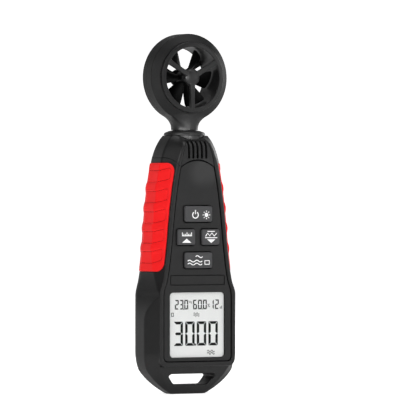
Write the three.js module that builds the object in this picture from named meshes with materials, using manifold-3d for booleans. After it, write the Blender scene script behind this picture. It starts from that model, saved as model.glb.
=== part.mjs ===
// Handheld vane anemometer: a tapered two-shell handle with a display and four keys, and a ring
// head with a six-blade impeller that swivels on a collar at the top of the handle.
//
// Frame, in millimetres: +Z runs from the bottom end of the handle to the top of the ring,
// -Y is the display side, +X is to the right of a person reading the display, and the Z axis is
// the swivel axis of the head.

import * as THREE from "three";
import { mergeVertices } from "three/addons/utils/BufferGeometryUtils.js";
import Module from "manifold-3d";

const wasm = await Module();
wasm.setup();

// ---------------------------------------------------------------- driving dimensions

// Handle outline: [height, value] stations, joined by straight lines.
const SIDE_HALF_WIDTH = [
  [0, 11.0],
  [4, 17.4],
  [9, 23.3],
  [14, 27.0],
  [18, 27.85],
  [22, 28.1],
  [54, 28.0],
  [58, 27.1],
  [66, 25.0],
  [76, 23.6],
  [96, 22.0],
  [118, 19.6],
  [127, 18.2],
  [133, 16.3],
  [138.6, 13.3],
  [141, 11.3],
];
const SIDE_HALF_DEPTH = [
  [0, 2.6],
  [5, 3.6],
  [11, 4.4],
  [20, 5.1],
  [141, 5.1],
];
const SIDE_FRONT_DEPTH = [
  [0, 3.8],
  [5, 5.0],
  [11, 5.7],
  [15, 5.6],
  [20, 5.1],
  [118, 5.1],
  [127, 6.1],
  [141, 6.1],
];
const FRONT_HALF_WIDTH = [
  [0, 8.6],
  [5, 14.8],
  [11, 19.5],
  [15.1, 21.6],
  [15.5, 19.6],
  [16.4, 22.0],
  [17.8, 23.1],
  [20, 23.6],
  [54.5, 23.6],
  [62, 21.4],
  [76, 19.2],
  [104, 16.2],
  [124.5, 12.7],
  [131, 10.6],
  [136.7, 8.2],
  [138.5, 7.4],
  [141, 5.5],
];
const FRONT_DEPTH = [
  [0, 4.2],
  [5.25, 6.6],
  [11, 9.3],
  [15.1, 11.2],
  [15.5, 14.8],
  [131, 14.8],
  [134.5, 14.6],
  [136.3, 13.9],
  [137.6, 12.6],
  [138.5, 11.0],
  [141, 8.0],
];
const BACK_HALF_WIDTH = [
  [0, 9.0],
  [5, 14.8],
  [11, 19.2],
  [16, 21.2],
  [22, 21.8],
  [54.5, 21.8],
  [62, 20.2],
  [76, 18.2],
  [104, 15.6],
  [124.5, 12.2],
  [131, 10.0],
  [136.7, 7.5],
  [141, 5.5],
];
const BACK_DEPTH = [
  [0, 3.0],
  [5, 4.2],
  [11, 5.7],
  [15, 8.5],
  [24, 16.0],
  [128, 16.0],
  [133, 15.0],
  [137, 12.8],
  [141, 8.5],
];
const HANDLE_ROWS = [
  0, 4, 9, 15.1, 15.5, 17.8, 20, 24, 40, 47, 54, 62, 76, 96, 118, 131, 134.5, 136.3, 138.5, 141,
];
const FACET_LOW = 40; // the front facet starts to narrow here
const FACET_GONE = 54; // the side reaches the rim here
const FACET_BACK = 80; // the facet has its full width again here
const TAPER_CHANGES = [54.5, 62, 76, 104]; // heights where the front's width changes its taper

// Shells
const WALL = 2.4;
const BACK_WALL = 2.0;
const FRONT_WALL = 3.4;
const SEAM_Y = 5.2; // plane where the front and rear cases meet
const REAR_CASE_BOTTOM = 13.0;
const CAVITY_BOTTOM = 15.5;
const CAVITY_TOP = 131.0;
const CLEARANCE = 0.15; // between pieces that fit into each other
const RIM_INSET = 1.8;
const SCREW_POST_R = 2.7;
const SCREW_POST_FRONT_Y = -3.8;
const SCREW_HOLE_R = 1.05;
const SCREW_HOLE_FRONT_Y = -2.6;
const TUNNEL_R = 2.9;
const TUNNEL_BORE_R = 2.2;
const TUNNEL_FLOOR_Y = 9.5;
const TUNNEL_HOLE_R = 1.15;
const FREE = 40; // reaches past any face of the handle
const ROUND_STEPS = 28; // sides of the collar and its seat
const RING_STEPS = 40; // sides of the ring, the duct and the cages

// Lanyard slot at the bottom end
const SLOT_LOW = 5.25;
const SLOT_HIGH = 11.05;
const SLOT_LOW_HALF = 11.0;
const SLOT_HIGH_HALF = 14.7;

// Front panel and display
const FRONT_Y = -14.8;
const PANEL_FACE_Y = -14.4;
const PANEL_BACK_Y = -13.0;
const POCKET_Y = -12.9;
const WALL_INNER_Y = FRONT_Y + FRONT_WALL;
const PANEL_BOTTOM = 17.9;
const PANEL_CORNER = 2.4;
const RIM_WIDTH = 2.4;
const RIM_WIDTH_TOP = 1.2;
const ARC_END_Z = 123.6; // the panel's top edge is an arc between its two ends
const ARC_TOP_Z = 127.5;
const WINDOW_HALF = 17.2;
const WINDOW_LOW = 20.2;
const WINDOW_HIGH = 55.5;
const WINDOW_CORNER = 2.0;
const WINDOW_FRONT_Y = -14.0;
const WINDOW_BACK_Y = -13.05;
const LCD_FRONT_Y = -12.9;
const LCD_BACK_Y = -11.0;
const OUTLINE_STEPS = 6; // straight pieces in each arc of the panel and the grille
const STRIP_LOW = 59.6;
const STRIP_HIGH = 64.8;
const STRIP_HALF = 16.9;
const STRIP_DEPTH = 0.3;

// Vent grille above the panel
const GRILLE_TOP = 138.3;
const GRILLE_THICK = 1.6;
const GRILLE_DROP = 0.2; // below the handle's front
const GRILLE_GAP = 0.3; // above the panel's arc
const VENT_COUNT = 5;
const VENT_PITCH = 2.7;
const VENT_WIDTH = 1.15;
const VENT_LOW = 128.4;
const VENT_HIGH = 137.9;

// Keys: centre x, centre z, width, height
const KEYS = {
  power: [0, 98.2, 17.2, 8.65],
  unit: [-7.6, 85.6, 11.0, 8.6],
  hold: [7.6, 85.6, 11.0, 8.6],
  mode: [0, 73.0, 17.2, 8.65],
};
const KEY_FACE_Y = -16.0;
const KEY_CORNER = 1.2;
const KEY_GAP = 0.4;
const KEY_FLANGE = 0.9;
const KEY_FLANGE_FRONT_Y = -11.2;
const KEY_FLANGE_BACK_Y = -10.2;
const KEY_STEM_BACK_Y = -9.4;
const KEY_STEM_R = 1.8;

// Side grips
const GRIP_LOW = 66.9;
const GRIP_HIGH = 126.0;
const GRIP_PROUD = 0.5;
const GRIP_RECESS = 1.2;
const RIB_HEIGHT = 0.55;
const RIB_HALF = 3.2;
const RIB_CENTRES = [79.8, 90.8, 101.8, 112.8];
const GRIP_FRONT_GAP = 1.4;
const GRIP_BACK_GAP = 2.4;
const GRIP_CORNER_TOP = 3.3;
const GRIP_CORNER_BOTTOM = 4.5;

// Battery bay on the back: three AAA cells side by side
const CELL_LENGTH = 44.5;
const CELL_RADIUS = 5.25;
const CELL_PITCH = 11.3;
const CELL_Y = 7.0;
const BAY_LOW = 37.6;
const BAY_HIGH = 85.4;
const BAY_RADIUS = 5.5;
const BAY_BLOCK_HALF = 18.4;
const BAY_BLOCK_FRONT_Y = 0.3;
const PLATE_THICK = 0.3;
const PLATE_GAP = 0.1; // behind a contact plate
const CELL_GAP = 0.2; // between a cell's tip and its plate
const COVER_LOW = 31.2;
const COVER_HIGH = 85.8;
const COVER_HALF = 15.5;
const COVER_THICK = 1.6;
const BACK_Y = 16.0;
const COVER_SCREW_Z = 34.2;
const HOOK_X = 9.5;
const HOOK_HALF = 2;
const HOOK_FRONT_Y = 12.5;
const HOOK_REACH = 1.7;
const COVER_BOSS_R = 2.9;
const COVER_BOSS_FRONT_Y = 11.2;
const GRIP_LINE_COUNT = 4; // grooves across the cover for a fingertip
const GRIP_LINE_LOW = 74.5;
const GRIP_LINE_PITCH = 2.2;
const GRIP_LINE_WIDTH = 0.9;
const GRIP_LINE_HALF = 6;

// Case screws, driven from the back: x, z
const CASE_SCREWS = [
  [-19.3, 27],
  [19.3, 27],
  [-10, 112],
  [10, 112],
];

// Electronics
const BOARD_FRONT_Y = -6.2;
const BOARD_BACK_Y = -4.6;
const BOARD_LOW = 18;
const BOARD_HIGH = 119;
const BOARD_TONGUE_HALF = 5;
const BOARD_TONGUE_TOP = 126;
const BOARD_INSET = 3.4; // from the handle's front edge
const SOLDER_GAP = 0.05;
const PILLAR_R = 1.6;
const BOARD_PILLARS = [
  [16.4, 62],
  [10.4, 110],
];
const GATE_HALF = 5.6; // opening in the front wall behind the grille, for the air to reach the sensor
const GATE_LOW = 125.5;
const GATE_BACK_Y = -8;
const SENSOR_HALF = 2.2;
const SENSOR_FRONT_Y = -8.0;
const SENSOR_LOW = 120.6;
const SENSOR_HIGH = 125;
const BACKLIGHT_HALF = 16;
const BACKLIGHT_LOW = 22;
const BACKLIGHT_HIGH = 54;
const BACKLIGHT_FRONT_Y = -10.8;
const BACKLIGHT_BACK_Y = -8.8;
const PLUG_HALF = 2.6;
const PLUG_LOW = 112;
const PLUG_HIGH = 116.5;
const PLUG_BACK_Y = -1.6;
const LEAD_R = 0.9;
const SWITCH_HALF = 3;
const SWITCH_FRONT_Y = -7.2;
const SWITCH_TIP_Y = -7.8;
const SWITCH_TIP_R = 1.6;
const MEMBRANE_FRONT_Y = -8.4;
const MEMBRANE_BACK_Y = -7.9;
const CHIP_HALF = 5;
const CHIP_LOW = 95;
const CHIP_BACK_Y = -3.2;

// Screws: y of the head's top, head radius and thickness, shank radius, y of the tip
const CASE_SCREW = { headY: 11.1, headR: 2.0, headThick: 1.5, shankR: 1.0, shankEnd: -2.2 };
const COVER_SCREW = { headY: 15.6, headR: 1.9, headThick: 1.3, shankR: 0.9, shankEnd: 6.5 };
const HEAD_SCREW = { headY: 5.4, headR: 1.35, headThick: 1.0, shankR: 0.7, shankEnd: -4.0 };

// Swivel joint
const COLLAR_LOW = 132.2;
const COLLAR_STEP = 138.5;
const COLLAR_FLANGE_LOW = 141.15;
const COLLAR_TOP = 143.8;
const COLLAR_FOOT_R = 9.9;
const COLLAR_FOOT_TOP = 133.8;
const COLLAR_STEM_R = 8.6;
const COLLAR_R = 10.5;
const COLLAR_FLANGE_R = 11.3;
const COLLAR_CROWN_R = 8.4;
const COLLAR_BORE_R = 6.9;
const SEAT_GROOVE_LOW = 132.0;
const SEAT_GROOVE_HIGH = 134.0;
const SPIGOT_R = 6.6;
const CLIP_GROOVE_LOW = 130.6;
const CLIP_GROOVE_HIGH = 131.7;
const CLIP_GROOVE_R = 5.6;
const CLIP_R = 8.0;
const CLIP_THICK = 0.8;
const WASHER_LOW = 131.65;
const WASHER_HIGH = 132.1;
const SPIGOT_LOW = 129.4;
const NECK_R = 7.4;
const NECK_LOW = 144.1;
const NECK_SIDES = 20;
// Neck above its foot: [height, half-width] stations up to where it runs into the ring
const NECK_FLARE = [
  [146.8, 7.4],
  [148.5, 8.1],
  [150.1, 9.5],
  [151.7, 12.0],
  [153.4, 15.0],
];
const CABLE_BORE_R = 1.5;
const CABLE_R = 1.1;
const CABLE_LOW = 126.6;
const SENSOR_BED_LOW = 151.0; // pocket of the blade sensor at the foot of the ring
const SENSOR_BED_HALF = 2.4;
const SENSOR_BED_DEPTH = 1.8;

// Ring head
const RING_Z = 172.7;
const RING_R = 23.9;
const RING_BAND_FRONT = 5.1;
const RING_BAND_REAR = 4.3;
const RING_FACE_Y = 7.55;
const RING_FACE_R = 19.8;
const HOLLOW_INNER_R = 19.8; // ring-shaped room inside the head
const HOLLOW_OUTER_R = 21.9;
const HOLLOW_HALF = 4.9;
const HEAD_BOSS_R = 1.9;
const DUCT_SEAT_R = 18.3;
const DUCT_OUTER_R = 18.1;
const DUCT_R = 16.6;
const LIP_Y = 9.6;
const CAGE_SEAT_Y = 7.65;
const CAGE_EDGE_Y = 9.15;
const DUCT_BACK_Y = 7.4;
const ARM_Y = 8.5;
const ARM_DEPTH = 1.8;
const ARM_ROOT = 2;
const CAGE_R = 19.3;
const HUB_R = 4.7;
const HUB_FACE_Y = 10.0;
const HUB_INNER_Y = 6.6;
const ARM_WIDTH = 2.7;
const ARM_ANGLES = [30, 150, 270];
const HEAD_SCREW_ANGLES = [35, 145];
const HEAD_SCREW_R = 21.1;

// Impeller
const BLADE_COUNT = 6;
const BLADE_THICK = 0.8;
const BLADE_TURN = THREE.MathUtils.degToRad(-3.5); // of the first blade, from +X
const IMPELLER_Y = 0.6;
const IMPELLER_HUB_R = 3.6;
const IMPELLER_END_R = 2.4;
const IMPELLER_HALF = 4.2;
const SHAFT_R = 0.5;
const SHAFT_BORE_R = 0.56;
const SHAFT_END_Y = 8.3;
const BEARING_R = 1.6;
const BEARING_END_Y = 8.5;
const SMALL_STEPS = 12; // sides of the shaft and its bearings
// Blade stations from root to tip: radius, half-width across the flow, half-width along the flow
const BLADE_STATIONS = [
  [3.2, 1.3, 1.7],
  [6.5, 2.3, 2.4],
  [10.5, 3.5, 2.9],
  [14.0, 4.4, 3.2],
  [16.0, 4.8, 3.3],
];

// ---------------------------------------------------------------- materials

function plastic(color, roughness) {
  return new THREE.MeshStandardMaterial({ color, roughness, metalness: 0 });
}

function metal(color, roughness) {
  return new THREE.MeshStandardMaterial({ color, roughness, metalness: 1 });
}

const BLACK = plastic(0x2e2e2f, 0.5);
const PANEL_BLACK = plastic(0x333334, 0.45);
const RED_RUBBER = plastic(0xe3262a, 0.6);
const KEY_GREY = plastic(0x55565a, 0.6);
const CLEAR = new THREE.MeshStandardMaterial({
  color: 0xf2f4f5,
  roughness: 0.05,
  transparent: true,
  opacity: 0.35,
});
const DISPLAY_GREY = plastic(0xe4e5e4, 0.4);
const BOARD_GREEN = plastic(0x1f5a38, 0.55);
const CHIP_BLACK = plastic(0x191919, 0.5);
const SILICONE = plastic(0xb9bcbc, 0.7);
const CELL_SLEEVE = plastic(0x3b6c8f, 0.35);
const STEEL = metal(0xb8babd, 0.35);
const NICKEL = metal(0xc9c6bd, 0.3);
const BRONZE = metal(0xa9783f, 0.35);
const CABLE_GREY = plastic(0x3a3a3c, 0.65);

// ---------------------------------------------------------------- solids

// A closed three.js geometry as a solid; vertices are merged and faces are turned outwards.
function solid(geometry) {
  const bare = new THREE.BufferGeometry();
  bare.setAttribute("position", geometry.getAttribute("position"));
  bare.setIndex(geometry.getIndex());
  const merged = mergeVertices(bare, 1e-4);
  const position = merged.getAttribute("position").array;
  const index = merged.getIndex().array;
  const faces = [];
  let volume = 0;
  for (let i = 0; i < index.length; i += 3) {
    const [a, b, c] = [index[i], index[i + 1], index[i + 2]];
    if (a === b || b === c || c === a) continue;
    faces.push(a, b, c);
    const [va, vb, vc] = [a, b, c].map((v) => new THREE.Vector3().fromArray(position, 3 * v));
    volume += va.dot(vb.cross(vc));
  }
  if (volume < 0) {
    for (let i = 0; i < faces.length; i += 3) {
      [faces[i], faces[i + 1]] = [faces[i + 1], faces[i]];
    }
  }
  return new wasm.Manifold(
    new wasm.Mesh({
      numProp: 3,
      vertProperties: new Float32Array(position),
      triVerts: new Uint32Array(faces),
    }),
  );
}

function join(first, ...others) {
  return others.reduce((sum, other) => sum.add(other), first);
}

function cut(body, ...tools) {
  return tools.reduce((rest, tool) => rest.subtract(tool), body);
}

function mesh(name, body, material) {
  const made = body.getMesh();
  const geometry = new THREE.BufferGeometry();
  geometry.setAttribute("position", new THREE.BufferAttribute(made.vertProperties, made.numProp));
  geometry.setIndex(new THREE.BufferAttribute(made.triVerts, 1));
  geometry.computeVertexNormals();
  const part = new THREE.Mesh(geometry, material);
  part.name = name;
  return part;
}

function box(x0, x1, y0, y1, z0, z1) {
  const geometry = new THREE.BoxGeometry(x1 - x0, y1 - y0, z1 - z0);
  geometry.translate((x0 + x1) / 2, (y0 + y1) / 2, (z0 + z1) / 2);
  return solid(geometry);
}

function rodZ(x, y, radius, z0, z1, sides = 12) {
  const geometry = new THREE.CylinderGeometry(radius, radius, z1 - z0, sides);
  geometry.rotateX(Math.PI / 2);
  geometry.translate(x, y, (z0 + z1) / 2);
  return solid(geometry);
}

function rodY(x, z, radius, y0, y1, sides = 12) {
  const geometry = new THREE.CylinderGeometry(radius, radius, y1 - y0, sides);
  geometry.translate(x, (y0 + y1) / 2, z);
  return solid(geometry);
}

// A closed [radius, height] profile turned about the Z axis.
function turnedZ(profile, segments) {
  const geometry = new THREE.LatheGeometry(profilePoints(profile), segments);
  geometry.rotateX(Math.PI / 2);
  return solid(geometry);
}

// A closed [radius, y] profile turned about the ring's axis, which is parallel to Y.
function turnedY(profile, segments, x = 0, z = RING_Z) {
  const geometry = new THREE.LatheGeometry(profilePoints(profile), segments);
  geometry.translate(x, 0, z);
  return solid(geometry);
}

function profilePoints(profile) {
  const closed = [...profile];
  const first = profile[0];
  const last = profile[profile.length - 1];
  if (first[0] > 0 || last[0] > 0) closed.push(first);
  return closed.map(([r, h]) => new THREE.Vector2(r, h));
}

// An outline drawn in X and Z, given thickness from y0 to y1.
function slab(shape, y0, y1, curveSegments = 2) {
  const geometry = new THREE.ExtrudeGeometry(shape, {
    depth: y1 - y0,
    bevelEnabled: false,
    curveSegments,
  });
  geometry.rotateX(Math.PI / 2);
  geometry.translate(0, y1, 0);
  return solid(geometry);
}

function roundedRect(x, z, width, height, radius) {
  const left = x - width / 2;
  const right = x + width / 2;
  const low = z - height / 2;
  const high = z + height / 2;
  const shape = new THREE.Shape();
  shape.moveTo(left + radius, low);
  shape.absarc(right - radius, low + radius, radius, -Math.PI / 2, 0);
  shape.absarc(right - radius, high - radius, radius, 0, Math.PI / 2);
  shape.absarc(left + radius, high - radius, radius, Math.PI / 2, Math.PI);
  shape.absarc(left + radius, low + radius, radius, Math.PI, 1.5 * Math.PI);
  return shape;
}

// A closed skin through rings of points that all have the same count.
function loft(rings, closeEnd = flatEnd) {
  const count = rings[0].length;
  const position = rings.flat().flatMap((p) => [p.x, p.y, p.z]);
  const index = [];
  for (let row = 0; row + 1 < rings.length; row += 1) {
    for (let i = 0; i < count; i += 1) {
      const a = row * count + i;
      const b = row * count + ((i + 1) % count);
      index.push(a, b, b + count, a, b + count, a + count);
    }
  }
  const last = rings.length - 1;
  index.push(...closeEnd(rings[0], 0, true), ...closeEnd(rings[last], last * count, false));
  const geometry = new THREE.BufferGeometry();
  geometry.setAttribute("position", new THREE.Float32BufferAttribute(position, 3));
  geometry.setIndex(index);
  return solid(geometry);
}

// Faces of an end that lies in a plane of constant height.
function flatEnd(ring, start, flip) {
  const flat = ring.map((p) => new THREE.Vector2(p.x, p.y));
  const swap = flip !== THREE.ShapeUtils.isClockWise(flat);
  return THREE.ShapeUtils.triangulateShape(flat, []).flatMap(([a, b, c]) =>
    (swap ? [c, b, a] : [a, b, c]).map((corner) => start + corner),
  );
}

// Faces of an end that is a strip between matching points of the ring's two halves.
function stripEnd(ring, start, flip) {
  const faces = [];
  for (let i = 0; i + 1 < ring.length / 2; i += 1) {
    const places = [i, i + 1, ring.length - 2 - i, ring.length - 1 - i];
    const [a, b, c, d] = places.map((place) => start + place);
    if (flip) faces.push(a, d, c, a, c, b);
    else faces.push(a, c, d, a, b, c);
  }
  return faces;
}

// A round tube along a curve.
function tube(curve, radius, steps, sides) {
  const ring = new THREE.Shape();
  for (let i = 0; i < sides; i += 1) {
    const turn = (2 * Math.PI * i) / sides;
    const point = [radius * Math.cos(turn), radius * Math.sin(turn)];
    if (i === 0) ring.moveTo(...point);
    else ring.lineTo(...point);
  }
  const geometry = new THREE.ExtrudeGeometry(ring, {
    extrudePath: curve,
    steps,
    curveSegments: 1,
  });
  return solid(geometry);
}

// The value at height z of a list of [height, value] stations.
function along(stations, z) {
  const last = stations[stations.length - 1];
  if (z >= last[0]) return last[1];
  const upper = Math.max(1, stations.findIndex(([height]) => height > z));
  const [z0, v0] = stations[upper - 1];
  const [z1, v1] = stations[upper];
  return v0 + ((v1 - v0) * Math.max(0, z - z0)) / (z1 - z0);
}

// ---------------------------------------------------------------- handle sections

const NO_INSET = { side: 0, front: 0, rim: 0, back: 0 };

// How far the side has moved forward over the facet: 0 at the facet's full width, 1 at the rim.
function facetCover(z) {
  const most = 0.97;
  if (z <= FACET_LOW || z >= FACET_BACK) return 0;
  const share =
    z < FACET_GONE
      ? (z - FACET_LOW) / (FACET_GONE - FACET_LOW)
      : (FACET_BACK - z) / (FACET_BACK - FACET_GONE);
  return Math.min(most, share * share);
}

// Corner points of the right half of the handle's section, from front to back.
function halfSection(z, inset = NO_INSET) {
  const side = along(SIDE_HALF_WIDTH, z) - inset.side;
  const drawn = 0.3 * inset.side;
  const frontDepth = along(SIDE_FRONT_DEPTH, z) - drawn;
  const rearDepth = along(SIDE_HALF_DEPTH, z) - drawn;
  const front = new THREE.Vector2(
    along(FRONT_HALF_WIDTH, z) - inset.rim,
    inset.front - along(FRONT_DEPTH, z),
  );
  const edge = new THREE.Vector2(side, -frontDepth).lerp(front, facetCover(z));
  const rear = new THREE.Vector2(side, rearDepth);
  const back = new THREE.Vector2(
    along(BACK_HALF_WIDTH, z) - 0.8 * inset.rim,
    along(BACK_DEPTH, z) - inset.back,
  );
  return { front, edge, rear, back };
}

function sectionRing(z, inset) {
  const { front, edge, rear, back } = halfSection(z, inset);
  const right = [front, edge, rear, back];
  const left = right.map((p) => new THREE.Vector2(-p.x, p.y)).reverse();
  return [...right, ...left].map((p) => new THREE.Vector3(p.x, p.y, z));
}

function handleSolid(inset = NO_INSET, low = 0, high = HANDLE_ROWS[HANDLE_ROWS.length - 1]) {
  const inside = HANDLE_ROWS.filter((z) => z > low && z < high);
  return loft([low, ...inside, high].map((z) => sectionRing(z, inset)));
}

// Half-width of the area inside the rim.
function insideRim(z) {
  const share = THREE.MathUtils.clamp((z - 124) / 12, 0, 1);
  const rim = RIM_WIDTH + (RIM_WIDTH_TOP - RIM_WIDTH) * share;
  return along(FRONT_HALF_WIDTH, z) - rim;
}

// Outline of the front panel, larger by grow all round.
function panelOutline(grow) {
  const low = PANEL_BOTTOM - grow;
  const half = insideRim(20) + grow;
  const shape = new THREE.Shape();
  shape.moveTo(PANEL_CORNER - half, low);
  shape.absarc(half - PANEL_CORNER, low + PANEL_CORNER, PANEL_CORNER, -Math.PI / 2, 0);
  const sides = [...TAPER_CHANGES, ARC_END_Z];
  for (const z of sides) shape.lineTo(insideRim(z) + grow, z);
  const end = insideRim(ARC_END_Z) + grow;
  shape.quadraticCurveTo(0, 2 * (ARC_TOP_Z + grow) - ARC_END_Z, -end, ARC_END_Z);
  for (const z of sides.toReversed().slice(1)) shape.lineTo(-insideRim(z) - grow, z);
  shape.lineTo(-half, low + PANEL_CORNER);
  shape.absarc(PANEL_CORNER - half, low + PANEL_CORNER, PANEL_CORNER, Math.PI, 1.5 * Math.PI);
  return shape;
}

// Outline of the vent grille, which starts just above the panel's arc.
function grilleOutline(grow) {
  const low = ARC_END_Z + GRILLE_GAP - grow;
  const shape = new THREE.Shape();
  const sides = [low, 131, 134.5, 136.7, GRILLE_TOP + grow];
  shape.moveTo(insideRim(low) + grow, low);
  for (const z of sides.slice(1)) shape.lineTo(insideRim(z) + grow, z);
  for (const z of sides.toReversed()) shape.lineTo(-insideRim(z) - grow, z);
  const end = insideRim(low) + grow;
  shape.quadraticCurveTo(0, 2 * (ARC_TOP_Z + GRILLE_GAP - grow) - low, end, low);
  return shape;
}

// ---------------------------------------------------------------- handle pieces

function grillePocket() {
  const floor = handleSolid({ ...NO_INSET, front: GRILLE_DROP + GRILLE_THICK });
  return cut(slab(grilleOutline(CLEARANCE), -FREE, 0, OUTLINE_STEPS), floor);
}

function keyShape([x, z, width, height], grow) {
  return roundedRect(x, z, width + 2 * grow, height + 2 * grow, KEY_CORNER + grow / 2);
}

function windowShape(grow) {
  const width = 2 * WINDOW_HALF + 2 * grow;
  const height = WINDOW_HIGH - WINDOW_LOW + 2 * grow;
  return roundedRect(0, (WINDOW_LOW + WINDOW_HIGH) / 2, width, height, WINDOW_CORNER + grow);
}

function lanyardSlot() {
  const chamfer = 1.2;
  const shape = new THREE.Shape();
  shape.moveTo(-SLOT_LOW_HALF + chamfer, SLOT_LOW);
  shape.lineTo(SLOT_LOW_HALF - chamfer, SLOT_LOW);
  shape.lineTo(SLOT_LOW_HALF + 0.2, SLOT_LOW + 0.7 * chamfer);
  shape.lineTo(SLOT_HIGH_HALF, SLOT_HIGH - chamfer);
  shape.lineTo(SLOT_HIGH_HALF - chamfer, SLOT_HIGH);
  shape.lineTo(chamfer - SLOT_HIGH_HALF, SLOT_HIGH);
  shape.lineTo(-SLOT_HIGH_HALF, SLOT_HIGH - chamfer);
  shape.lineTo(-SLOT_LOW_HALF - 0.2, SLOT_LOW + 0.7 * chamfer);
  return slab(shape, -FREE, FREE);
}

// The seat for the swivel collar: a stepped bore with a groove for the collar's lower flange.
function collarSeat() {
  const low = CAVITY_TOP - 0.5;
  const high = 143;
  const bore = COLLAR_STEM_R + 0.3;
  const groove = COLLAR_FOOT_R + 0.3;
  const top = COLLAR_R + 0.2;
  const step = COLLAR_STEP - CLEARANCE;
  return turnedZ(
    [
      [0, low],
      [bore, low],
      [bore, SEAT_GROOVE_LOW],
      [groove, SEAT_GROOVE_LOW],
      [groove, SEAT_GROOVE_HIGH],
      [bore, SEAT_GROOVE_HIGH],
      [bore, step],
      [top, step],
      [top, high],
      [0, high],
    ],
    ROUND_STEPS,
  );
}

// Points of one side's path from the front edge to the back edge of a grip, moved outwards.
function gripPath(z, offset, widen) {
  const { front, edge, rear, back } = halfSection(z);
  const corner = cornerInset(z);
  const start = pointBefore(edge, front, GRIP_FRONT_GAP + corner - widen);
  const end = pointBefore(rear, back, GRIP_BACK_GAP + corner - widen);
  const path = [start, edge, rear, end];
  return path.map((point, i) => {
    const before = path[Math.max(0, i - 1)];
    const after = path[Math.min(path.length - 1, i + 1)];
    const first = outward(before, i === 0 ? after : point);
    const second = outward(i === path.length - 1 ? before : point, after);
    const mitre = first.clone().add(second).normalize();
    const stretch = 1 / Math.max(0.5, mitre.dot(first));
    return point.clone().addScaledVector(mitre, offset * stretch);
  });
}

function outward(a, b) {
  const run = b.clone().sub(a).normalize();
  return new THREE.Vector2(run.y, -run.x);
}

function pointBefore(from, to, distance) {
  const run = from.clone().sub(to);
  return to.clone().addScaledVector(run.clone().normalize(), Math.min(distance, 0.9 * run.length()));
}

// How much a grip's front and back edges draw in near its rounded ends.
function cornerInset(z) {
  const fromTop = GRIP_HIGH - z;
  const fromBottom = z - GRIP_LOW;
  const [radius, near] =
    fromTop < fromBottom ? [GRIP_CORNER_TOP, fromTop] : [GRIP_CORNER_BOTTOM, fromBottom];
  if (near >= radius) return 0;
  const rise = radius - Math.max(0, near);
  return radius - Math.sqrt(radius * radius - rise * rise);
}

function ribHeight(z) {
  const near = RIB_CENTRES.find((centre) => Math.abs(z - centre) < RIB_HALF);
  if (near === undefined) return 0;
  return RIB_HEIGHT * Math.cos(((z - near) / RIB_HALF) * (Math.PI / 2));
}

// Heights of a grip's sections: close together at its rounded ends, free in between.
function gripRows(between) {
  const low = [0, 0.8, 2.2, GRIP_CORNER_BOTTOM].map((rise) => GRIP_LOW + rise);
  const high = [GRIP_CORNER_TOP, 1.4, 0.5, 0].map((drop) => GRIP_HIGH - drop);
  return [...low, ...between, ...high];
}

function ribRows() {
  const shares = [-1, -0.6, 0, 0.6, 1];
  return RIB_CENTRES.flatMap((centre) => shares.map((share) => centre + share * RIB_HALF));
}

function gripRing(z, inner, outer, widen, side) {
  const outside = gripPath(z, outer, widen);
  const inside = gripPath(z, inner, widen).reverse();
  return [...outside, ...inside].map((p) => new THREE.Vector3(side * p.x, p.y, z));
}

function grip(side) {
  const inner = CLEARANCE - GRIP_RECESS;
  const rings = gripRows(ribRows()).map((z) => gripRing(z, inner, GRIP_PROUD + ribHeight(z), 0, side));
  return loft(rings);
}

function gripRecess(side) {
  const rows = gripRows([76, 96, 118]).map((z) => [z, z]);
  rows[0][0] -= CLEARANCE;
  rows[rows.length - 1][0] += CLEARANCE;
  const reach = 3;
  return loft(
    rows.map(([z, source]) =>
      gripRing(source, -GRIP_RECESS, reach, CLEARANCE, side).map((p) => p.setZ(z)),
    ),
  );
}

// What both cases leave out of the handle's outer form; the fittings are left standing inside.
function hollows(...fittings) {
  const inset = { side: WALL, front: FRONT_WALL, rim: RIM_INSET, back: BACK_WALL };
  const cavity = handleSolid(inset, CAVITY_BOTTOM, CAVITY_TOP);
  return [
    cut(cavity, ...fittings),
    collarSeat(),
    lanyardSlot(),
    gripRecess(1),
    gripRecess(-1),
  ];
}

function frontSpace() {
  return join(
    box(-FREE, FREE, -FREE, SEAM_Y, -1, 200),
    box(-FREE, FREE, 0, FREE, -1, REAR_CASE_BOTTOM),
  );
}

// A screw post that stands in the front case on a rib from the side wall.
function screwPost([x, z]) {
  const side = Math.sign(x);
  const ribHalf = 0.8;
  const reach = along(SIDE_HALF_WIDTH, z) - WALL + 0.6;
  const post = rodY(x, z, SCREW_POST_R, SCREW_POST_FRONT_Y, SEAM_Y);
  const ribEnds = [x, side * reach].sort((a, b) => a - b);
  const rib = box(...ribEnds, SCREW_POST_FRONT_Y, SEAM_Y, z - ribHalf, z + ribHalf);
  return join(post, rib);
}

function screwHole([x, z]) {
  return rodY(x, z, SCREW_HOLE_R, SCREW_HOLE_FRONT_Y, SEAM_Y + 1);
}

// Pillars that carry the main board.
function boardPillars() {
  return BOARD_PILLARS.flatMap(([x, z]) =>
    [-x, x].map((px) => rodY(px, z, PILLAR_R, WALL_INNER_Y - 0.5, BOARD_FRONT_Y - 0.1)),
  );
}

function frontCase() {
  const opening = windowShape(-0.8);
  const sensorGate = box(-GATE_HALF, GATE_HALF, -FREE, GATE_BACK_Y, GATE_LOW, CAVITY_TOP);
  return cut(
    handleSolid().intersect(frontSpace()),
    ...hollows(...CASE_SCREWS.map(screwPost), ...boardPillars()),
    slab(panelOutline(CLEARANCE), -FREE, POCKET_Y, OUTLINE_STEPS),
    slab(opening, -FREE, WALL_INNER_Y + 1),
    ...Object.values(KEYS).map((key) => slab(keyShape(key, KEY_GAP), -FREE, WALL_INNER_Y + 1)),
    ...CASE_SCREWS.map(screwHole),
    grillePocket(),
    sensorGate,
  );
}

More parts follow.
